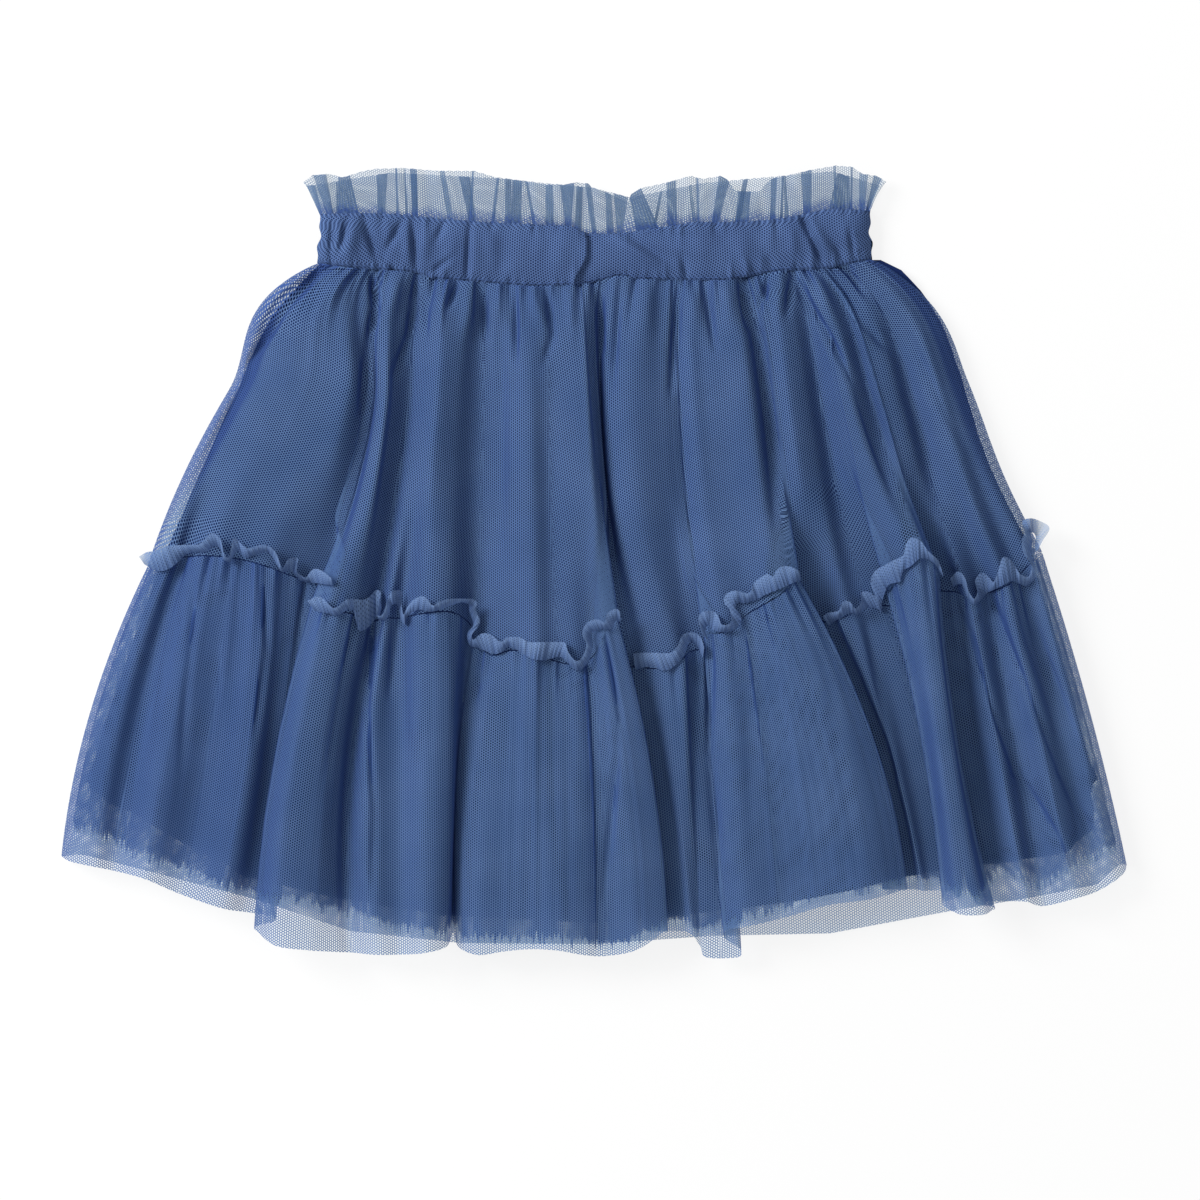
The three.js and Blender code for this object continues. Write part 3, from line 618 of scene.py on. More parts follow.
# Main creases of the front as x and y of both ends, half width, height: under the waist seam
upperCreases = [
    (-116, 122, -128, 107.5, 1.8, -2.6), (-128, 107.5, -144.5, 84, 1.8, -2.2),
    (-144.5, 84, -153, 67, 1.6, -1.4), (-106, 121, -112, 105, 5, 1.8), (-93, 121.5, -91.6, 106, 1.5, -2.8),
    (-91.6, 106, -93.7, 95, 1.7, -2.2), (-93.7, 95, -97, 62, 2, -1.6), (-90.2, 121.5, -89.5, 116, 1.0, -1.4),
    (-82, 119.5, -86, 104, 3, 1.8), (-74, 118, -75, 107.5, 1.3, -2.2), (-75, 107.5, -77, 95, 1.5, -2.4),
    (-77, 95, -83, 78, 1.8, -1.8), (-71, 112, -70.7, 95, 1.4, -1.2), (-63, 117, -65, 100, 2.6, 1.5),
    (-56.7, 117.3, -61.7, 106, 1.4, -2.2), (-52, 115, -53.5, 96, 2.6, 1.3),
    (-46.3, 114.5, -45.6, 95, 1.4, -1.9), (-40, 114, -40, 98, 3, 1.2), (-32.4, 113.5, -33, 84, 1.5, -1.8),
    (-26, 114, -22, 99, 2.6, 1.3), (-19.9, 115, -17.1, 95, 1.5, -2.0), (-17.1, 95, -20.6, 84, 1.6, -1.2),
    (-10, 116, -9, 98, 2.6, 1.2), (2.4, 114.5, 3.4, 89.4, 1.3, -1.8), (11, 118, 7.3, 71.6, 1.5, -1.6),
    (23, 118, 21, 95, 4, 1.2), (35.2, 117.5, 32.6, 72, 1.6, -2.0), (41, 118, 43, 98, 2.6, 1.3),
    (46.5, 116, 50.4, 89.4, 1.5, -2.0), (55, 118, 57, 100, 3, 1.4), (61.8, 117.5, 64.3, 99.5, 1.4, -2.0),
    (73.2, 119.5, 69.4, 107, 1.4, -1.9), (78, 120, 77, 104, 2.4, 1.2), (83.3, 120.5, 80.8, 104.6, 1.4, -1.8),
    (85.8, 115, 107.4, 77, 1.7, -2.2), (107.4, 77, 127.6, 21, 2.2, -1.4), (92, 120, 99, 101, 2.6, 1.6),
    (99.8, 120.5, 112.4, 99.5, 1.6, -2.4), (112.4, 99.5, 122.6, 89.4, 1.8, -1.4),
    (106, 124, 112.4, 112.2, 1.3, -1.6), (109, 120, 125, 96, 3, 1.5), (128, 100, 152, 52, 2.6, -1.2),
]
lowerCreases = [
    (-137.6, -12, -136.3, -35.6, 1.4, -1.8), (-136.3, -35.6, -141.3, -73, 1.8, -1.4),
    (-167.4, -8, -168.7, -40.6, 1.6, -1.5), (-168.7, -40.6, -172.4, -85, 2, -1.2),
    (-152, -8, -155, -60, 3, 1.2), (-98.9, -22, -105.2, -50.5, 1.6, -1.8),
    (-105.2, -50.5, -111.4, -90, 2, -1.2), (-92.7, -26, -95.2, -60.5, 1.2, -2.2),
    (-95.2, -60.5, -91.5, -103, 1.4, -2.0), (-91.5, -103, -92.8, -140, 1.6, -1.4),
    (-82.7, -24, -85.2, -55.5, 1.4, -1.6), (-75, -24, -74, -80, 3.4, 1.0),
    (-39.2, -38, -54.2, -60.5, 2.4, -1.0), (-21.7, -44, -22, -100, 3, -0.9),
    (4.5, -33, 10.7, -65.5, 1.2, -2.2), (10.7, -65.5, 4.5, -140, 1.6, -1.6), (49, -30, 47.8, -79, 1.6, -1.4),
    (47.8, -79, 52.4, -130, 2, -1.2), (114, -28, 125.6, -88, 1.8, -1.4), (151.1, -17, 176.6, -88, 1.6, -1.8),
    (176.6, -88, 202, -130, 1.8, -1.6), (165, -14, 195.2, -88, 1.6, -1.6),
    (195.2, -88, 211.5, -121, 1.8, -1.4), (179, -12, 204.5, -84, 1.6, -1.4), (171, -16, 190, -70, 2.4, 1.0),
    (80, -30, 88, -110, 4, 0.9), (64, -36, 66, -120, 3, -0.8), (96, -40, 108, -120, 3, -0.8),
]


# Front, upper tier: soft gathers run down from the waist seam and fade
upperFront = {"spacing": 0.72, "rows": 96, "crease": 1.3, "sideCrush": (3.0, 0.9)}
upperV = np.linspace(0, 1, upperFront["rows"]) ** 1.25
upperLines = upperThreads(upperV)
upperPlaces = evenPlaces(upperLines, upperFront["spacing"])
upperBase = between(upperLines, upperPlaces)
fromWaist = upperBase[0, :, 1][None, :] - upperBase[..., 1]
upperRise = upperFront["crease"] * creased(upperBase, upperCreases)
upperRise += gathers(upperBase, fromWaist, randomGathers(4.2, 480, 1.2, 0.9, 9))
upperRise += gathers(upperBase, fromWaist, randomGathers(15, 480, 3.0, 0.8, 50))
upperPoints = upperBase + outOf(upperBase) * upperRise[..., None]
upperMap = clothMap(upperPoints, valleysOf(upperBase))
columns = np.arange(upperPoints.shape[1])
sideCloth = np.minimum(columns, columns[::-1]) * upperFront["spacing"]
sideCrush = np.where(columns < len(columns) // 2, *upperFront["sideCrush"])
sideCrush = sideCrush * smooth(sideCloth, 2, 5) * (1 - smooth(sideCloth, 14, 20))
# Steep folds and the side bands take the crushed colour; on steep folds that is partly painted shade
upperCrushAndShade = steepness(upperPoints) + sideCrush[None, :] * (1 - smooth(upperV, 0.5, 0.9))[:, None]
upperNet = makeSheet("upperNet", upperPoints, tulle, "net", crush=upperCrushAndShade, uv=upperMap)
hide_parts("front_upper_tier")
print("upper tier made")


# Front, lower tier: gathers run down from the tier seam, the longest to the hem
lowerFront = {"spacing": 0.8, "rows": 100}
lowerV = np.linspace(0, 1, lowerFront["rows"]) ** 1.15
lowerLines = lowerThreads(lowerV)
lowerPlaces = evenPlaces(lowerLines, lowerFront["spacing"])
lowerBase = between(lowerLines, lowerPlaces)
fromSeam = lowerBase[0, :, 1][None, :] - lowerBase[..., 1]
rise = creased(lowerBase, lowerCreases)
rise += gathers(lowerBase, fromSeam, randomGathers(3.4, 560, 1.3, 0.8, 14))
rise += gathers(lowerBase, fromSeam, randomGathers(17, 560, 3.2, 0.5, 80))
lowerPoints = lowerBase + outOf(lowerBase) * rise[..., None]
lowerMap = clothMap(lowerPoints, valleysOf(lowerBase))
# The left panel, below x of about -105 mm, takes more of the crushed colour as painted shade
lowerCrushAndShade = steepness(lowerPoints) + 0.45 * (1 - smooth(lowerPoints[..., 0], -150, -105))
lowerNet = makeSheet("lowerNet", lowerPoints, tulle, "net", crush=lowerCrushAndShade, uv=lowerMap)
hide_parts("front_lower_tier")
print("lower tier made")


# Second net layer of the lower tier: close under the first, in finer pleats of its own, and shorter
underFront = {"inset": 9.0, "depth": 1.5, "columns": 640, "rows": 80, "ragged": 1.0, "lowest": 2.4}
share = np.linspace(0, 1, underFront["columns"] + 1)
last = lowerBase.shape[1] - 1
insetColumns = underFront["inset"] / lowerFront["spacing"]
column = lerp(insetColumns * 0.5, last - insetColumns * 0.5, share)
hemX = np.interp(column, np.arange(last + 1), lowerBase[-1, :, 0])
topY = np.interp(column, np.arange(last + 1), lowerBase[0, :, 1])
hemY = np.interp(column, np.arange(last + 1), lowerBase[-1, :, 1])
ragged = np.convolve(rng.normal(0, 1, len(share)), np.ones(4) / 4, "same") * underFront["ragged"]
reach = np.clip((topY - outlineAt(underNetHem, hemX) - ragged) / (topY - hemY), 0.3, 0.985)
t = np.linspace(0, 1, underFront["rows"])[:, None]
rowAt = np.interp(t * reach[None, :], lowerV, np.arange(len(lowerV)))
underBase = lookUp(lowerBase - outOf(lowerBase) * underFront["depth"], rowAt, column[None, :] + 0 * rowAt)
fromSeam = underBase[0, :, 1][None, :] - underBase[..., 1]
rise = gathers(underBase, fromSeam, randomGathers(2.4, 520, 1.0, 0.75, 170))
underPoints = underBase + outOf(underBase) * rise[..., None]
underPoints[..., 2] = np.maximum(underPoints[..., 2], underFront["lowest"])
middle = 1 - 0.6 * smooth(np.abs(hemX), 150, 200)
underCrushAndShade = 0.4 * steepness(underPoints) + 0.9 * middle[None, :]
# Painted shade: the left panel darker
underCrushAndShade += 0.5 * (1 - smooth(underPoints[..., 0], -165, -115))
toHem = underPoints[..., 1] - underPoints[-1, :, 1][None, :]
underCrushAndShade += 0.9 * middle[None, :] * (1 - smooth(toHem, 14, 30))
# Painted light: less crush right of x 50 mm, so that the valleys there come out lighter
underCrushAndShade *= 1 - 0.5 * smooth(underPoints[..., 0], 50, 100)
fade = lerp(0.05, 0.66, 1 - smooth(toHem, 0, 9))
underMap = clothMap(underPoints, valleysOf(underBase))
underNet = makeSheet("underNet", underPoints, tulleUnderShaded, "net", crush=underCrushAndShade, fade=fade, uv=underMap)
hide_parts("under_net_layer")
print("under layer made")


# Back panel: flat on the surface, its sides turned up to meet the front's side folds
backPanel = {
    "edgeZ": 2.2, "flatZ": 0.6, "lowest": 0.3, "rows": (48, 50), "columns": (300, 320), "seamLift": 1.3}


def backTier(name, v, lines, top, bottom, columns, lift, node):
    share = np.linspace(0, 1, columns + 1)
    left, right = lines[:, :1], lines[:, -1:]
    x = lerp(left[..., 0], right[..., 0], share)
    y = lerp(outlineAt(top, x), outlineAt(bottom, x), v[:, None])
    edgeY = lerp(left[..., 1], right[..., 1], share)
    fromSide = np.minimum(x - left[..., 0], right[..., 0] - x)
    y = lerp(edgeY, y, smooth(fromSide, 0, 14))
    z = lerp(backPanel["edgeZ"], backPanel["flatZ"] + lift, smooth(fromSide, 0, 2.5))
    points = np.stack([x, y, z + 0 * x], -1)
    fromTop = points[0, :, 1][None, :] - points[..., 1]
    rise = gathers(points, fromTop, randomGathers(6, 400, 2.2, 0.35, 60))
    points = points + outOf(points) * (rise * smooth(fromSide, 0, 6))[..., None]
    points[..., 2] = np.maximum(points[..., 2], backPanel["lowest"])
    piece = makeSheet(name, points, tulleBack, "net", crush=steepness(points))
    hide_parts(node)
    return piece


backUpperRows, backLowerRows = (
    np.linspace(0, len(v) - 1, rows).astype(int) for v, rows in zip((upperV, lowerV), backPanel["rows"]))
backLift = (backPanel["seamLift"] * smooth(upperV[backUpperRows], 0.9, 0.945))[:, None]
backUpper = backTier(
    "backUpperNet", upperV[backUpperRows], upperLines[backUpperRows], casingBottom, backSeam,
    backPanel["columns"][0], backLift, "back_upper_tier")
backLower = backTier(
    "backLowerNet", lowerV[backLowerRows], lowerLines[backLowerRows], backSeam, backHem,
    backPanel["columns"][1], 0, "back_lower_tier")
print("back tiers made")


# Linings
liningLeft = [(-91.5, -213.5), (0, -181), (72, -149.5), (90, -142), (103, -135), (118, -122), (125, -114)]
liningRight = [
    (-91.5, 211.5), (0, 184.5), (40, 169.5), (62, 161), (84, 153.5), (100, 147), (112, 138.5), (122, 127),
    (125, 117),
]


# Lowest net over each square millimetre, so that the linings can be kept under it
netFloor = np.full((460, 320), 99.0)
floorCorner = np.array([-230.0, -170.0])
for grid in (upperPoints, lowerPoints, underPoints):
    cells = np.floor(grid[..., :2].reshape(-1, 2) - floorCorner).astype(int)
    np.minimum.at(netFloor, (cells[:, 0], cells[:, 1]), grid[..., 2].ravel())
netFloor = np.min([np.roll(netFloor, (i, j), (0, 1)) for i in (-1, 0, 1) for j in (-1, 0, 1)], axis=0)


def keepUnder(points, below):
    cells = np.floor(points[..., :2] - floorCorner).astype(int)
    ceiling = netFloor[cells[..., 0], cells[..., 1]] - below
    points[..., 2] = np.maximum(np.minimum(points[..., 2], ceiling), 1.0)


backLining = {"height": 3.3, "top": 124, "bottom": -91, "rows": 60, "columns": 240, "below": 1.0}
frontLining = {
    "rows": 100, "columns": 340,
    "inset": 13,  # columns of net, at the tier seam, that reach past the lining
    "upperDepth": 0.7, "lowerDepth": 2.6, "flat": 4.7, "lowest": 4.0, "below": 0.5}


def liningSheet(name, points, node):
    piece = makeSheet(name, points, liningCotton, "lining")
    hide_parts(node)
    return piece


def backLiningPoints(setup):
    v = np.linspace(0, 1, setup["rows"])[:, None]
    share = np.linspace(0, 1, setup["columns"] + 1)[None, :]
    depth = lerp(setup["top"], setup["bottom"], v)
    x = lerp(outlineAt(liningLeft, depth), outlineAt(liningRight, depth), share)
    y = lerp(outlineAt(casingBottom, x) - ease, outlineAt(liningHem, x), v)
    points = np.stack([x, y, setup["height"] + 0 * x], -1)
    fromTop = points[0, :, 1][None, :] - points[..., 1]
    points[..., 2] += gathers(points, fromTop, randomGathers(11, 330, 4, 0.35, 120))
    keepUnder(points, setup["below"])
    return points


# The front lining is gathered into the waist seam with the net, so it takes part in its folds
def frontLiningPoints(setup):
    inner = upperPoints - outOf(upperPoints) * setup["upperDepth"]
    soft = lowerBase - outOf(lowerBase) * setup["lowerDepth"]
    share = np.linspace(0, 1, setup["columns"] + 1)
    last = inner.shape[1] - 1
    column = lerp(setup["inset"], last - setup["inset"], share)
    place = np.interp(column, np.arange(last + 1), upperPlaces)
    hemColumn = np.interp(place, lowerPlaces, np.arange(len(lowerPlaces)))
    hemMarks = np.arange(lowerBase.shape[1])
    seamAt = np.interp(hemColumn, hemMarks, lowerBase[0, :, 1])
    hemAt = np.interp(hemColumn, hemMarks, lowerBase[-1, :, 1])
    hemX = np.interp(hemColumn, hemMarks, lowerBase[-1, :, 0]) * 0.96
    reach = np.clip((seamAt - outlineAt(liningHem, hemX)) / (seamAt - hemAt), 0.3, 0.97)
    half = setup["rows"] // 2
    upperRow = np.linspace(0, len(upperV) - 1, half)[:, None] + 0 * share[None, :]
    upper = lookUp(inner, upperRow, column[None, :] + 0 * upperRow)
    t = np.linspace(0.02, 1, setup["rows"] - half)[:, None]
    lowerRow = np.interp(t * reach[None, :], lowerV, np.arange(len(lowerV)))
    lower = lookUp(soft, lowerRow, hemColumn[None, :] + 0 * lowerRow)
    calm = lerp(1.0, 0.55, smooth(t, 0, 0.8))
    lower[..., 2] = np.maximum(setup["flat"] + (lower[..., 2] - setup["flat"]) * calm, 4.2)
    points = np.concatenate([upper, lower])
    # the sides run straight, a little inside the net's
    left, right = (outlineAt(side, points[..., 1]) for side in (liningLeft, liningRight))
    points[..., 0] = np.clip(points[..., 0], left, right)
    points[..., 2] = np.maximum(points[..., 2], setup["lowest"])
    keepUnder(points, setup["below"])
    return points


liningBack = liningSheet("liningBack", backLiningPoints(backLining), "back_lining")
liningFront = liningSheet("liningFront", frontLiningPoints(frontLining), "front_lining")
print("linings made")


# Heading frill of the tier seam: a band of net, as tall as "height", that curls between its sewn
# foot and its free edge. Each stretch that shows has the two edges as seen from above.
tierRibbons = {  # free edge and foot of each curl, as x and y
    "sideLeft": [
        ([(-190.5, 2), (-187, 4), (-183.5, 4.5), (-177.5, 6.5), (-171, 7), (-164.5, 7)],
         [(-188.5, -1), (-181.5, -4), (-176, -2), (-169.5, 3.5), (-161.5, 4)]),
        ([(-164.5, 7), (-161.5, 10), (-159, 12), (-155.5, 9), (-154, 2.5), (-152, 1.5)],
         [(-161.5, 4), (-158.5, 6.5), (-156, 5.5), (-154.5, 1), (-152, -0.5)]),
        ([(-152, 1.5), (-151, 6.5), (-150, 10), (-146, 6.5), (-143.5, 5.5),
          (-138, 7), (-133, 4.5), (-130, -3.5)],
         [(-152, -0.5), (-148.5, 4.5), (-145.5, 1.5), (-142.5, 2.5), (-136, 4), (-133, 0), (-130.5, -4.5)]),
        ([(-130, -3.5), (-127.5, 1), (-123.5, 1.5), (-124.5, -3.5), (-120.5, -7)],
         [(-130.5, -4.5), (-127.5, -4), (-125, -5), (-123, -7.5), (-119.5, -9)]),
        ([(-120.5, -7), (-117, -3), (-113, -4), (-109, -7)],
         [(-119.5, -9), (-116, -9), (-112, -9.5), (-108.5, -10)]),
    ],
    "foldLeft": [
        ([(-119.5, -16.5), (-114.5, -14.5), (-111, -17), (-108, -19.5),
          (-104.5, -17), (-102.5, -15.5), (-99.5, -15.5)],
         [(-116.5, -20.5), (-111, -21.5), (-106.5, -22.5), (-102.5, -20), (-99, -21)]),
        ([(-99.5, -15.5), (-96.5, -16), (-93.5, -14.5), (-91.5, -12), (-89, -12.5), (-90, -17.5),
          (-91, -22.5)],
         [(-99, -29), (-95.5, -28.5), (-91.5, -24), (-89.5, -20.5), (-88.5, -18.5), (-90, -24.5)]),
        ([(-91, -22.5), (-88, -22), (-85.5, -14), (-83, -12), (-80, -12.5), (-80.5, -17), (-79.5, -22.5)],
         [(-90, -24.5), (-86.5, -24), (-84.5, -18.5), (-82, -18), (-81, -23.5), (-79, -27)]),
        ([(-79.5, -22.5), (-77.5, -18.5), (-74.5, -15.5), (-70.5, -14.5), (-67, -18.5),
          (-65, -17), (-59.5, -15.5), (-50.5, -15.5)],
         [(-79, -27), (-77.5, -22.5), (-73, -20), (-68, -21), (-62.5, -19.5), (-55.5, -17), (-52, -18)]),
        ([(-50.5, -15.5), (-48.5, -17.5), (-49.5, -20), (-47.5, -25.5), (-51, -30), (-50.5, -33)],
         [(-52, -18), (-52, -21), (-50.5, -26.5), (-53, -30), (-52, -35), (-48.5, -36)]),
        ([(-50.5, -33), (-47, -30), (-43, -30.5), (-39, -33.5), (-36.5, -31.5)],
         [(-48.5, -36), (-46, -37), (-41.5, -38.5), (-38, -37.5), (-35.5, -35)]),
        ([(-36.5, -31.5), (-31, -31.5), (-27, -33.5), (-20.5, -33.5), (-12, -33.5)],
         [(-35.5, -35), (-31, -37.5), (-26, -40.5), (-20.5, -41), (-14.5, -39.5)]),
        ([(-12, -33.5), (-10.5, -38), (-7, -41.5), (-4, -38), (-3, -34)],
         [(-14.5, -39.5), (-12, -41), (-7, -45.5), (-2.5, -42), (-0.5, -36)]),
        ([(-3, -34), (-5, -30), (-3, -25.5), (1.5, -24), (4.5, -25.5), (5.5, -21.5), (9.5, -19.5),
          (11, -21.5)],
         [(-0.5, -36), (-1, -30), (1.5, -28.5), (4.5, -28), (7.5, -28), (9, -24.5), (11.5, -25)]),
    ],
    "hollow": [
        ([(16, -38.5), (19.5, -38), (25.5, -38), (32, -38), (35, -35)],
         [(17, -45), (23.5, -44), (30, -45.5), (35, -42.5), (38, -39)]),
        ([(35, -35), (37, -30.5), (41, -29.5), (44.5, -31.5), (46, -36)],
         [(38, -39), (39.5, -34), (41, -33.5), (43.5, -36), (45.5, -40.5)]),
    ],
    "foldRight": [
        ([(46, -31.5), (43.5, -25.5), (44, -22), (47, -20.5), (51, -21.5), (53, -26.5)],
         [(48, -33), (46.5, -28.5), (48, -26), (49, -28), (52.5, -29.5)]),
        ([(53, -26.5), (57, -25.5), (56.5, -20), (54, -17), (55, -13.5), (59, -12), (62, -13)],
         [(52.5, -29.5), (58.5, -28.5), (61.5, -23.5), (59, -19.5), (60, -17), (63, -17.5)]),
        ([(62, -13), (65, -13), (66.5, -9), (72, -5), (74, -6.5), (77, -2.5), (81, -2), (85.5, -4)],
         [(63, -17.5), (67, -16), (72, -13.5), (77, -11.5), (82.5, -9), (86.5, -7.5)]),
    ],
    "farRight": [
        ([(95.5, -23.5), (97, -21.5), (102, -20.5), (103.5, -17), (106.5, -16.5), (109, -20)],
         [(98, -27), (102, -24), (106.5, -21.5), (110, -22.5)]),
        ([(109, -20), (111.5, -17), (111.5, -13), (114.5, -12.5), (118, -14.5)],
         [(110, -22.5), (114, -19.5), (118, -19.5), (120.5, -21.5)]),
        ([(118, -14.5), (116.5, -11.5), (115.5, -8), (117, -4), (121, -1.5), (124.5, 0.5)],
         [(120.5, -21.5), (120.5, -17), (121.5, -12.5), (123, -9.5), (127.5, -8.5)]),
        ([(124.5, 0.5), (128.5, 2.5), (129.5, 6.5), (131.5, 10), (135.5, 9)],
         [(127.5, -8.5), (128.5, -4), (131.5, -2), (135.5, 1.5)]),
        ([(135.5, 9), (139, 4), (143, 0.5), (145.5, -5.5)],
         [(135.5, 1.5), (139.5, 0.5), (142.5, -2), (145.5, -7)]),
    ],
    "sideRight": [
        ([(148.5, -7.5), (151.5, -4), (154.5, -6.5), (156, -12), (158.5, -16)],
         [(149.5, -10.5), (153.5, -9.5), (155.5, -14.5), (158.5, -18.5)]),
        ([(158.5, -16), (160, -12), (159, -8), (162, -4.5), (165, -6.5), (166.5, -9)],
         [(158.5, -18.5), (162, -15.5), (164.5, -13), (166.5, -12)]),
        ([(166.5, -9), (168.5, -4), (170.5, 2), (174.5, 0), (177.5, -5), (181.5, -6.5)],
         [(166.5, -12), (171, -9.5), (174.5, -8), (177, -9), (180.5, -10.5)]),
        ([(181.5, -6.5), (182.5, -1.5), (179, 4), (178.5, 9), (180, 12)],
         [(180.5, -10.5), (185, -5.5), (183, 1), (182.5, 6), (183.5, 9)]),
        ([(180, 12), (179, 17), (184, 18), (190.5, 14.5), (187.5, 9), (185.5, 5.5)],
         [(183.5, 9), (182.5, 12), (184, 12), (185, 10.5), (184.5, 8), (184.5, 4)]),
    ],
}
tierFrill = {
    "height": 6.3, "rows": 10, "spacing": 0.45, "lift": 1.3, "highest": 2.8, "overCloth": 0.8, "bulge": 0.7,
    "pleats": 0.26, "sheerLeft": (-190, -185), "sheerRight": (183, 187)}
tierNodes = {
    "sideLeft": [1], "foldLeft": [2], "hollow": [3], "foldRight": [4], "farRight": [5, 6], "sideRight": [7],
}


# Even steps along a smooth line through given points
def smoothLine(points, count):
    p = np.array(points, float)
    p = np.concatenate([[2 * p[0] - p[1]], p, [2 * p[-1] - p[-2]]])
    t = np.linspace(0, 1, 12, endpoint=False)[:, None]
    runs = []
    for a, b, c, d in zip(p[:-3], p[1:-2], p[2:-1], p[3:]):
        runs.append(0.5 * (2 * b + (c - a) * t + (2 * a - 5 * b + 4 * c - d) * t * t
                           + (3 * b - a - 3 * c + d) * t ** 3))
    line = np.concatenate(runs + [p[-2:-1]])
    along = np.concatenate([[0], np.cumsum(np.linalg.norm(np.diff(line, axis=0), axis=1))])
    at = np.linspace(0, along[-1], count)
    return np.stack([np.interp(at, along, line[:, k]) for k in (0, 1)], -1), along[-1]


topCloth = np.concatenate([upperPoints[::2, ::2].reshape(-1, 3), lowerPoints[::2, ::2].reshape(-1, 3)])


# Height of the cloth's top face near each point in plan
def clothTop(xy, reach=1.6):
    heights = []
    for x, y in xy:
        near = (np.abs(topCloth[:, 0] - x) < reach) & (np.abs(topCloth[:, 1] - y) < reach)
        heights.append(topCloth[near, 2].max() if near.any() else 4.0)
    return smoothed(np.array(heights), 4)


def tierRibbon(name, number, curls, setup):
    runs = []
    for edges in curls:
        length = max(smoothLine(points, 9)[1] for points in edges)
        count = max(int(length / setup["spacing"]), 6)
        runs.append([smoothLine(points, count)[0] for points in edges])
    free, foot = (np.concatenate([run[k][:-1] for run in runs[:-1]] + [runs[-1][k]]) for k in (0, 1))
    free, foot = (np.stack([smoothed(line[:, k], 2) for k in (0, 1)], -1) for line in (free, foot))
    count = len(free)
    length = count * setup["spacing"]
    t = np.linspace(1, 0, setup["rows"])[:, None]
    plan = free[None] * t[..., None] + foot[None] * (1 - t[..., None])
    base = clothTop(foot) + setup["lift"]
    across = np.linalg.norm(free - foot, axis=1)
    up = np.clip(np.sqrt(np.maximum(setup["height"] ** 2 - across ** 2, 0)), 0, setup["highest"])
    over = np.maximum(clothTop(free) + setup["overCloth"] - base, 0)
    z = base[None] + np.maximum(smoothed(up, 3), over)[None] * t + setup["bulge"] * np.sin(np.pi * t)
    place = np.arange(count) * setup["spacing"]
    pleats = np.sin(place * 2.9 + 1.5 * np.sin(place * 0.7 + number)) + 0.6 * np.sin(place * 5.3)
    fine = setup["pleats"] * pleats[None] * (1 - 0.7 * t)
    points = np.stack([plan[..., 0], plan[..., 1], z + fine], -1)
    sheer = smooth(plan[..., 0], *setup["sheerRight"]) + 1 - smooth(plan[..., 0], *setup["sheerLeft"])
    # Painted shade toward the sewn foot and in the pleats' troughs, painted highlight at the free edge and on
    # their crests; the ends thinned to sheer
    crush = 0.05 + 0.75 * (1 - t) - 0.2 * pleats[None] - 2.0 * sheer
    along = np.linspace(0, length, count)[None, :] + 0 * z
    uv = np.stack([along, t * setup["height"] + 0 * z], -1) * mm
    piece = makeSheet(f"tierFrill_{name}", points, tulleHeading, "frill", crush=crush, uv=uv)
    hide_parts(*[f"front_tier_frill_{n}" for n in tierNodes[name]])
    return piece


strips = []
for name, curls in tierRibbons.items():
    strips.append(tierRibbon(name, len(strips), curls, tierFrill))
backFrill = {"half": 185, "columns": 741, "rows": 8, "wave": 1.3, "sway": 0.35, "lift": 0.55}
x = np.linspace(-backFrill["half"], backFrill["half"], backFrill["columns"])[None, :]
free = np.linspace(1, 0, backFrill["rows"])[:, None]
wave = np.sin(x * backFrill["wave"])
backFrillPoints = np.stack([
    x + 0 * free,
    outlineAt(backSeam, x) + 0.45 + tierFrill["height"] * free - 0.9 * free * (0.5 + 0.5 * wave),
    backFrill["lift"] + backFrill["sway"] * wave * (0.3 + 0.7 * free)], -1)
backTierFrill = makeSheet(
    "backTierFrill", backFrillPoints, tulleHeading, "frill", crush=0.3 + steepness(backFrillPoints))
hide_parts("back_tier_frill")
print("tier frills made")


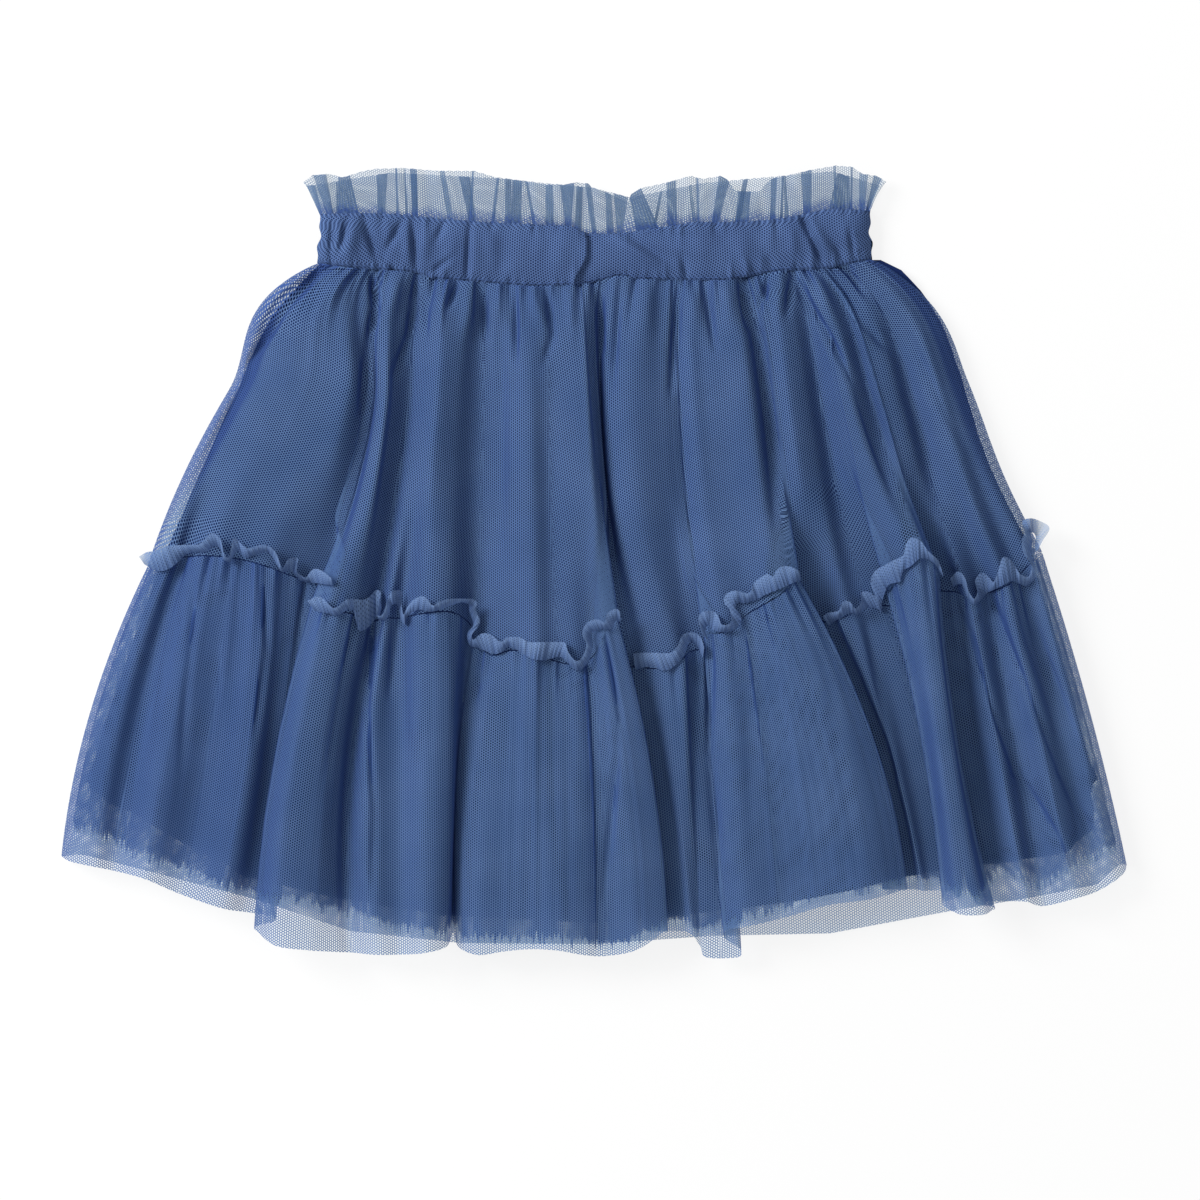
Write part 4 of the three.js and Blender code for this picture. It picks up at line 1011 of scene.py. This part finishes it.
# Casing: two closed halves with rounded edges, the front one in soft gathers
casingCreases = [  # x and y of both ends, half width, height
    (-113, 141.5, -113.8, 126, 1.6, 0.9), (-109.6, 143, -110.5, 126, 1.3, -1.2),
    (-106.5, 143, -107, 126, 1.3, 0.8), (-102.9, 143, -107.5, 127.7, 1.4, -1.5),
    (-99.5, 145, -103.5, 126, 3.2, 1.5), (-96.2, 143.6, -90.7, 124.7, 1.6, -1.4),
    (-94.9, 136.9, -84, 122.2, 1.8, -1.2), (-88, 143, -84, 133, 2.5, 0.6),
    (-80.2, 142.8, -86.5, 131, 1.6, -1.3), (-78.5, 141, -78, 124, 2, 0.7),
    (-76, 142.8, -74.3, 121.8, 1.4, -1.5), (-62.6, 142.8, -65.9, 134.4, 1.5, -1.0),
    (-58, 138, -62, 121, 3, 0.5), (-52, 141, -53.3, 117.2, 1.3, -1.4), (-49.5, 139, -49.5, 119, 3, 0.6),
    (-30, 137, -32, 120, 5, 0.5), (-12, 140, -16, 118, 5, 0.9), (6.7, 136.9, 27.7, 123.5, 2.6, 1.3),
    (13, 137.3, 31, 126, 2, -1.0), (19.3, 138.6, 40.3, 135.2, 2.2, -0.7), (37, 127, 39.5, 117.2, 1.6, -1.3),
    (44, 139, 46, 122, 4, 0.5), (61.3, 139.4, 63.4, 126, 4, 0.7), (71.8, 128.9, 76, 121.8, 2, -0.8),
    (75, 142, 73, 130, 3, 0.4), (86.5, 146, 91.1, 136.1, 1.6, -2.2), (91.1, 136.1, 95.8, 125, 1.5, -2.0),
    (90, 143.6, 100, 126, 2.6, 1.3), (100.4, 133.1, 104.6, 126, 1.5, -1.0), (104, 144, 107, 132, 3, 0.6),
    (112, 136, 119, 134, 1.4, -1.4), (111, 131, 113, 127, 1.5, -0.8), (-44, 139, -42, 128, 3, 0.7),
    (-38, 130, -40, 118, 3, -0.5), (-22, 138, -24, 126, 3.5, 0.6), (50, 141, 56, 133, 3, -0.6),
    (-70, 140, -71, 126, 2.6, 0.8), (82, 140, 84, 128, 2.4, 0.8), (30, 133, 48, 128, 2.4, 0.5),
    (62, 128, 66, 119, 1.6, 0.9), (-60, 127, -68, 121, 1.4, -0.9), (107, 138, 109, 127, 1.3, -1.2),
]
casingStep = {"top": -3.6, "bottom": -8.2, "height": 1.5}  # where the casing's own ends lap, front middle
casingShape = {"rows": (46, 16), "columns": 440, "crease": 1.4, "backZ": 1.2}


def casingShell(name, isFront, node):
    rows = casingShape["rows"][0 if isFront else 1]
    v = np.linspace(0, 1, rows)[:, None]
    share = np.linspace(0, 1, casingShape["columns"] + 1)[None, :]
    left, right = (lerp(casingTop[k][0], casingBottom[k][0], v) for k in (0, -1))
    x = lerp(left, right, share)
    x = x + (0.5 * np.sin(9 * v + 1) - 0.4 * np.sin(17 * v)) * (x / casing["half"]) ** 5
    low, high = outlineAt(casingBottom, x) - 0.3, outlineAt(casingTop, x)
    y = lerp(high, low, v)
    fromSide = np.clip((casing["half"] - np.abs(x)) / casing["side"], 0, 1)
    rim = np.clip(1 - np.abs(2 * v - 1) ** 7, 0, 1) ** 0.5 * np.clip(1 - (1 - fromSide) ** 6, 0, 1) ** 0.5
    if isFront:
        rise = casing["puff"] * np.sin(np.pi * v) + 0 * x
        rise += casingShape["crease"] * creased(np.stack([x, y], -1), casingCreases)
        step = lerp(casingStep["top"], casingStep["bottom"], v) + 2.6 * np.sin(np.pi * np.minimum(v * 1.1, 1))
        rise += casingStep["height"] * np.exp(-np.clip(step - x, 0, 99) / 12) * (x < step)
        rise -= 0.9 * np.exp(-np.clip(x - step, 0, 99) / 4) * (x >= step)
        plan = np.stack([x, y, 0 * x], -1)
        small = gathers(plan, high - y, randomGathers(3, 240, 1.0, 0.5, 3.2))
        small += gathers(plan, y - low, randomGathers(3, 240, 1.0, 0.6, 3.6))
        middle = casing["height"] - casing["drop"] * (1 - fromSide) ** 2 + (rise + small) * fromSide
    else:
        middle = casingShape["backZ"] + 0 * x
    wall = casing["wall"] / 2 * rim
    top = np.stack([x, y, middle + wall], -1)
    bottom = np.stack([x, y, middle - wall], -1)
    if not isFront:
        bottom[..., 2] = 0.0
        top[..., 2] = np.maximum(top[..., 2], 0.02)
    ring = np.concatenate([top, bottom[::-1]], axis=0)
    piece = makeSheet(name, ring, casingNet, "casing")
    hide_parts(node)
    return piece, top


casingFront, casingFrontTop = casingShell("casingFront", True, "front_waistband")
casingBack = casingShell("casingBack", False, "back_waistband")[0]
print("casing made")


# Waist frill: one layer of net in uneven pleats, drawn together where it is sewn to the casing
waistPleats = [  # left and right edge at the top, left and right edge at the seam
    (-118, -112, -112, -109), (-107.5, -102, -108, -98), (-83.5, -82.2, -83, -81.5),
    (-79.8, -78.8, -79.5, -77.5), (-77.5, -74, -76.5, -73.5), (-65, -62.5, -61.5, -58.5),
    (-51.5, -50, -52.8, -51), (-41, -39.5, -43.5, -41.5), (-37.5, -34.5, -37.5, -34), (-29, -27.5, -26, -24),
    (-20.5, -17, -20.5, -16.5), (-14.5, -8, -12, -9.5), (-4, -1, -1, 1.5), (4.5, 7.5, 5, 8.5),
    (14.5, 20, 17, 28), (30, 34.5, 30.5, 35), (42.5, 44, 43, 44.5), (52, 57, 49, 52.5), (60, 66, 59, 65),
    (74, 77, 73.5, 76), (79, 80.5, 80, 82), (86.5, 91.5, 87.5, 91), (100, 101.5, 100.5, 102),
    (107.5, 108.5, 107, 108.5), (111, 115, 111, 113.5), (117, 121, 113.8, 115),
]


# Where two numbers stand, the first is the front's and the second the back's
waistFrillSetup = {
    "spacing": 0.45, "rows": 26, "sway": (0.7, 0.2), "layer": (1.2, 0.4), "cloud": (1, 0.3), "folded": 0.06}


def waistFrill(name, isFront, topLine, base, node):
    mirrored = [(-b, -a, -d, -c) for a, b, c, d in waistPleats[::-2]]
    pleats = waistPleats if isFront else mirrored
    stops = [(topLine[0][0], casingTop[0][0], 0.0, 0.0)]
    for a, b, c, d in pleats:
        stops += [(b, d, 0.0, 1.0), (a, c, 0.5, 1.0), (b, d, 0.9, 1.0), (b + 0.8, d + 0.8, 0.7, 0.0)]
    stops.append((topLine[-1][0], casingTop[-1][0], 0.0, 0.0))
    stops = np.array(stops)
    lengths = np.concatenate([[0], np.cumsum(np.abs(np.diff(stops[:, 0])) + 0.3)])
    along = np.linspace(0, lengths[-1], int(lengths[-1] / waistFrillSetup["spacing"]) + 1)
    xTop, xLow, level, double = (np.interp(along, lengths, stops[:, k]) for k in range(4))
    soft = np.array([1, 2, 1]) / 4
    xTop, xLow, level = (
        np.concatenate([w[:1], np.convolve(w, soft, "valid"), w[-1:]]) for w in (xTop, xLow, level))
    free = np.linspace(1, 0, waistFrillSetup["rows"])[:, None]
    x = lerp(xLow[None, :], xTop[None, :], free)
    seam = outlineAt(casingTop, x)
    edgeY = outlineAt(topLine, x) + 0.12 * np.sin(along * 1.7)[None, :]
    y = lerp(seam - 0.6, edgeY, free)
    wave = np.sin(along * 2 * np.pi / 9.5) * (0.6 + 0.4 * np.sin(along / 11))
    tight = np.sin(along * 2 * np.pi / 2.3 + np.sin(along / 5))
    sway = wave[None, :] * (0.2 + 0.6 * free) + tight[None, :] * 0.3 * np.exp(-free / 0.12)
    side = 0 if isFront else 1
    z = base + waistFrillSetup["sway"][side] * sway + level[None, :] * waistFrillSetup["layer"][side]
    points = np.stack([x, y, np.maximum(z, 0.15)], -1)
    cloudTop = 4.6 + 2.0 * np.sin(along / 6) + 1.3 * np.sin(along / 2.1 + 1) + 1.6 * np.sin(along / 23 + 2)
    cloud = 1 - smooth((y - seam), 0.2, np.maximum(cloudTop, 1.8)[None, :])
    rough = 0.35 * np.sin(along[None, :] * 3.1 + y * 1.9) + 0.35 * np.sin(along[None, :] * 1.3 - y * 2.7)
    folded = smooth(double, 0.9, 1)[None, :]
    # Near the seam the net is crushed, denser and darker; the darker colour is partly painted shade
    crush = np.clip(cloud * (1.0 + 1.4 * rough), 0, 1.8) * waistFrillSetup["cloud"][side]
    crush = crush + waistFrillSetup["folded"] * folded
    uv = np.stack([along[None, :] + 0 * y, y], -1) * mm
    piece = makeSheet(name, points, tulleFrill, "frill", crush=crush, uv=uv)
    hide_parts(node)
    return piece


frillFront = waistFrill("waistFrillFront", True, frillTop, 5.2, "front_waist_frill")
frillBack = waistFrill("waistFrillBack", False, backFrillTop, 0.7, "back_waist_frill")
print("waist frills made")


# Stitches: short threads along the casing's two seams, laid out by Geometry Nodes
stitchSetup = {
    "spacing": 3.2, "length": 2.3, "width": 0.36, "seed": 4, "inset": 1.1, "lift": 0.05,
    "colour": "#445f95", "roughness": 0.6, "specular": 0.3}


# Polyester sewing thread, dyed to match: smoother than the net, a little brighter where light falls
def sewingThread(name, setup):
    material, tree, output = startMaterial(name)
    thread = clothShader(tree, setup, linear(setup["colour"]))
    tree.links.new(thread, output.inputs["Surface"])
    return material


def stitchTree():
    tree = bpy.data.node_groups.new("stitches", "GeometryNodeTree")
    kinds = {"Path": "NodeSocketGeometry", "Spacing": "NodeSocketFloat", "Length": "NodeSocketFloat",
             "Width": "NodeSocketFloat", "Seed": "NodeSocketInt", "Thread": "NodeSocketMaterial"}
    keys = {}
    for label, kind in kinds.items():
        keys[label] = tree.interface.new_socket(label, in_out="INPUT", socket_type=kind).identifier
    tree.interface.new_socket("Mesh", in_out="OUTPUT", socket_type="NodeSocketGeometry")
    given = tree.nodes.new("NodeGroupInput").outputs
    path = addNode(tree, "GeometryNodeMeshToCurve", {"Mesh": given["Path"]})
    links = {"Curve": path.outputs[0], "Length": given["Spacing"]}
    even = addNode(tree, "GeometryNodeResampleCurve", links, mode="LENGTH")
    bead = addNode(tree, "GeometryNodeMeshUVSphere", {"Segments": 8, "Rings": 6, "Radius": 0.5})
    size = addNode(tree, "ShaderNodeCombineXYZ", {0: given["Width"], 1: given["Width"], 2: given["Length"]})
    vary = addNode(tree, "FunctionNodeRandomValue", {"Min": 0.85, "Max": 1.1, "Seed": given["Seed"]})
    scale = addNode(
        tree, "ShaderNodeVectorMath", {0: size.outputs[0], "Scale": vary.outputs["Value"]}, operation="SCALE")
    tangent = tree.nodes.new("GeometryNodeInputTangent")
    turn = addNode(tree, "FunctionNodeAlignRotationToVector", {"Vector": tangent.outputs[0]}, axis="Z")
    laid = addNode(
        tree, "GeometryNodeInstanceOnPoints",
        {"Points": even.outputs[0], "Instance": bead.outputs["Mesh"], "Rotation": turn.outputs[0],
         "Scale": scale.outputs[0]})
    real = addNode(tree, "GeometryNodeRealizeInstances", {"Geometry": laid.outputs[0]})
    links = {"Geometry": real.outputs[0], "Material": given["Thread"]}
    done = addNode(tree, "GeometryNodeSetMaterial", links)
    result = tree.nodes.new("NodeGroupOutput")
    tree.links.new(done.outputs[0], result.inputs[0])
    return tree, keys


def stitch(name, line, tree, keys, thread):
    mesh = bpy.data.meshes.new(name)
    place = (line + shift) * mm
    mesh.from_pydata(place.tolist(), [(k, k + 1) for k in range(len(line) - 1)], [])
    carrier = bpy.data.objects.new(name + "_path", mesh)
    scene.collection.objects.link(carrier)
    made = carrier.modifiers.new("stitches", "NODES")
    made.node_group = tree
    for label in ("Spacing", "Length", "Width"):
        made[keys[label]] = stitchSetup[label.lower()] * mm
    made[keys["Seed"]] = stitchSetup["seed"]
    made[keys["Thread"]] = thread
    seen = carrier.evaluated_get(bpy.context.evaluated_depsgraph_get())
    sewn = bpy.data.objects.new(name, bpy.data.meshes.new_from_object(seen))
    scene.collection.objects.link(sewn)
    bpy.data.objects.remove(carrier)
    sewn.data.shade_smooth()
    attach(sewn, "root")
    return sewn


def seamLine(points, inset, lift):
    rows = []
    for i in range(0, points.shape[1], 4):
        column = points[:, i]
        x, y = column[0 if inset > 0 else -1, :2]
        z = np.interp(inset - y, -column[:, 1], column[:, 2])
        rows.append((x, y - inset, z + lift))
    return np.array(rows[2:-2])


tree, keys = stitchTree()
sewing = sewingThread("polyester_sewing_thread", stitchSetup)
for name, side in (("casingTopStitches", 1), ("casingSeamStitches", -1)):
    line = seamLine(casingFrontTop, side * stitchSetup["inset"], stitchSetup["lift"])
    stitch(name, line, tree, keys, sewing)
print("stitches made")


# Cloth: each piece's cut before it was gathered, and how it lies
def clothArea(piece):
    return sum(face.area for face in piece.data.polygons)


cuts = [  # piece, width and length of the cut, how it is held, what it rests on
    (upperNet, (0.53, 0.155), "gathered", [liningFront]),
    (lowerNet, (0.66, 0.135), "gathered", [underNet]),
    (underNet, (0.69, 0.128), "gathered", [liningFront]),
    (backUpper, (0.37, 0.155), "laid", ["floor"]),
    (backLower, (0.45, 0.128), "laid", ["floor"]),
    (liningFront, (0.54, 0.262), "gathered", [liningBack]),
    (liningBack, (0.4, 0.258), "laid", [backUpper, backLower]),
    (frillFront, (0.42, 0.0185), "gathered", [frillBack]),
    (frillBack, (0.31, 0.018), "gathered", ["floor"]),
    (casingFront, (0.252, 0.05), "stretched", [casingBack]),
    (casingBack, (0.233, 0.049), "stretched", ["floor"]),
]
for piece, flat, held, rests in cuts:
    print(piece.name, "area", round(clothArea(piece), 5), "of", round(flat[0] * flat[1], 5))

# The tier seam's frill is the edge of strips 10 mm high; the rest is sewn in behind the seam
strips.append(backTierFrill)
stripLengths = [0.135, 0.25, 0.05, 0.088, 0.1, 0.12, 0.38]
for piece, length in zip(strips, stripLengths):
    under = backLower if piece is backTierFrill else lowerNet


# Floor and light: a white table that glows a little, so that only a faint soft shadow falls to the right
studio = {
    "half": 4.0, "drop": 0.0005, "paper": 0.16, "glow": 0.83, "world": 0.52,
    "power": 62, "size": 1.1, "place": (-1.7, 0.9, 1.35)}


def lightScene(setup):
    mesh = bpy.data.meshes.new("floor")
    half = setup["half"]
    corners = [(-half, -half, 0), (half, -half, 0), (half, half, 0), (-half, half, 0)]
    mesh.from_pydata(corners, [], [(0, 1, 2, 3)])
    floor = bpy.data.objects.new("floor", mesh)
    floor.location = (0, 0, -setup["drop"])
    scene.collection.objects.link(floor)
    material, tree, output = startMaterial("white_paper_floor")
    grey = setup["paper"]
    paper = addNode(tree, "ShaderNodeBsdfDiffuse", {"Color": (grey, grey, grey, 1)})
    glow = addNode(tree, "ShaderNodeEmission", {"Color": (1, 1, 1, 1), "Strength": setup["glow"]})
    both = addNode(tree, "ShaderNodeAddShader", {0: paper.outputs[0], 1: glow.outputs[0]})
    tree.links.new(both.outputs[0], output.inputs["Surface"])
    mesh.materials.append(material)
    world = bpy.data.worlds.new("studio")
    world.use_nodes = True
    scene.world = world
    sky = world.node_tree.nodes["Background"]
    sky.inputs["Color"].default_value = (1, 1, 1, 1)
    sky.inputs["Strength"].default_value = setup["world"]
    data = bpy.data.lights.new("key", "AREA")
    data.shape = "DISK"
    data.size = setup["size"]
    data.energy = setup["power"]
    key = bpy.data.objects.new("key", data)
    key.location = setup["place"]
    key.rotation_euler = (-Vector(setup["place"])).to_track_quat("-Z", "Y").to_euler()
    scene.collection.objects.link(key)
    return floor


lightScene(studio)
scene.cycles.transparent_max_bounces = 24
scene.cycles.diffuse_bounces = 3
print("floor and lights made")
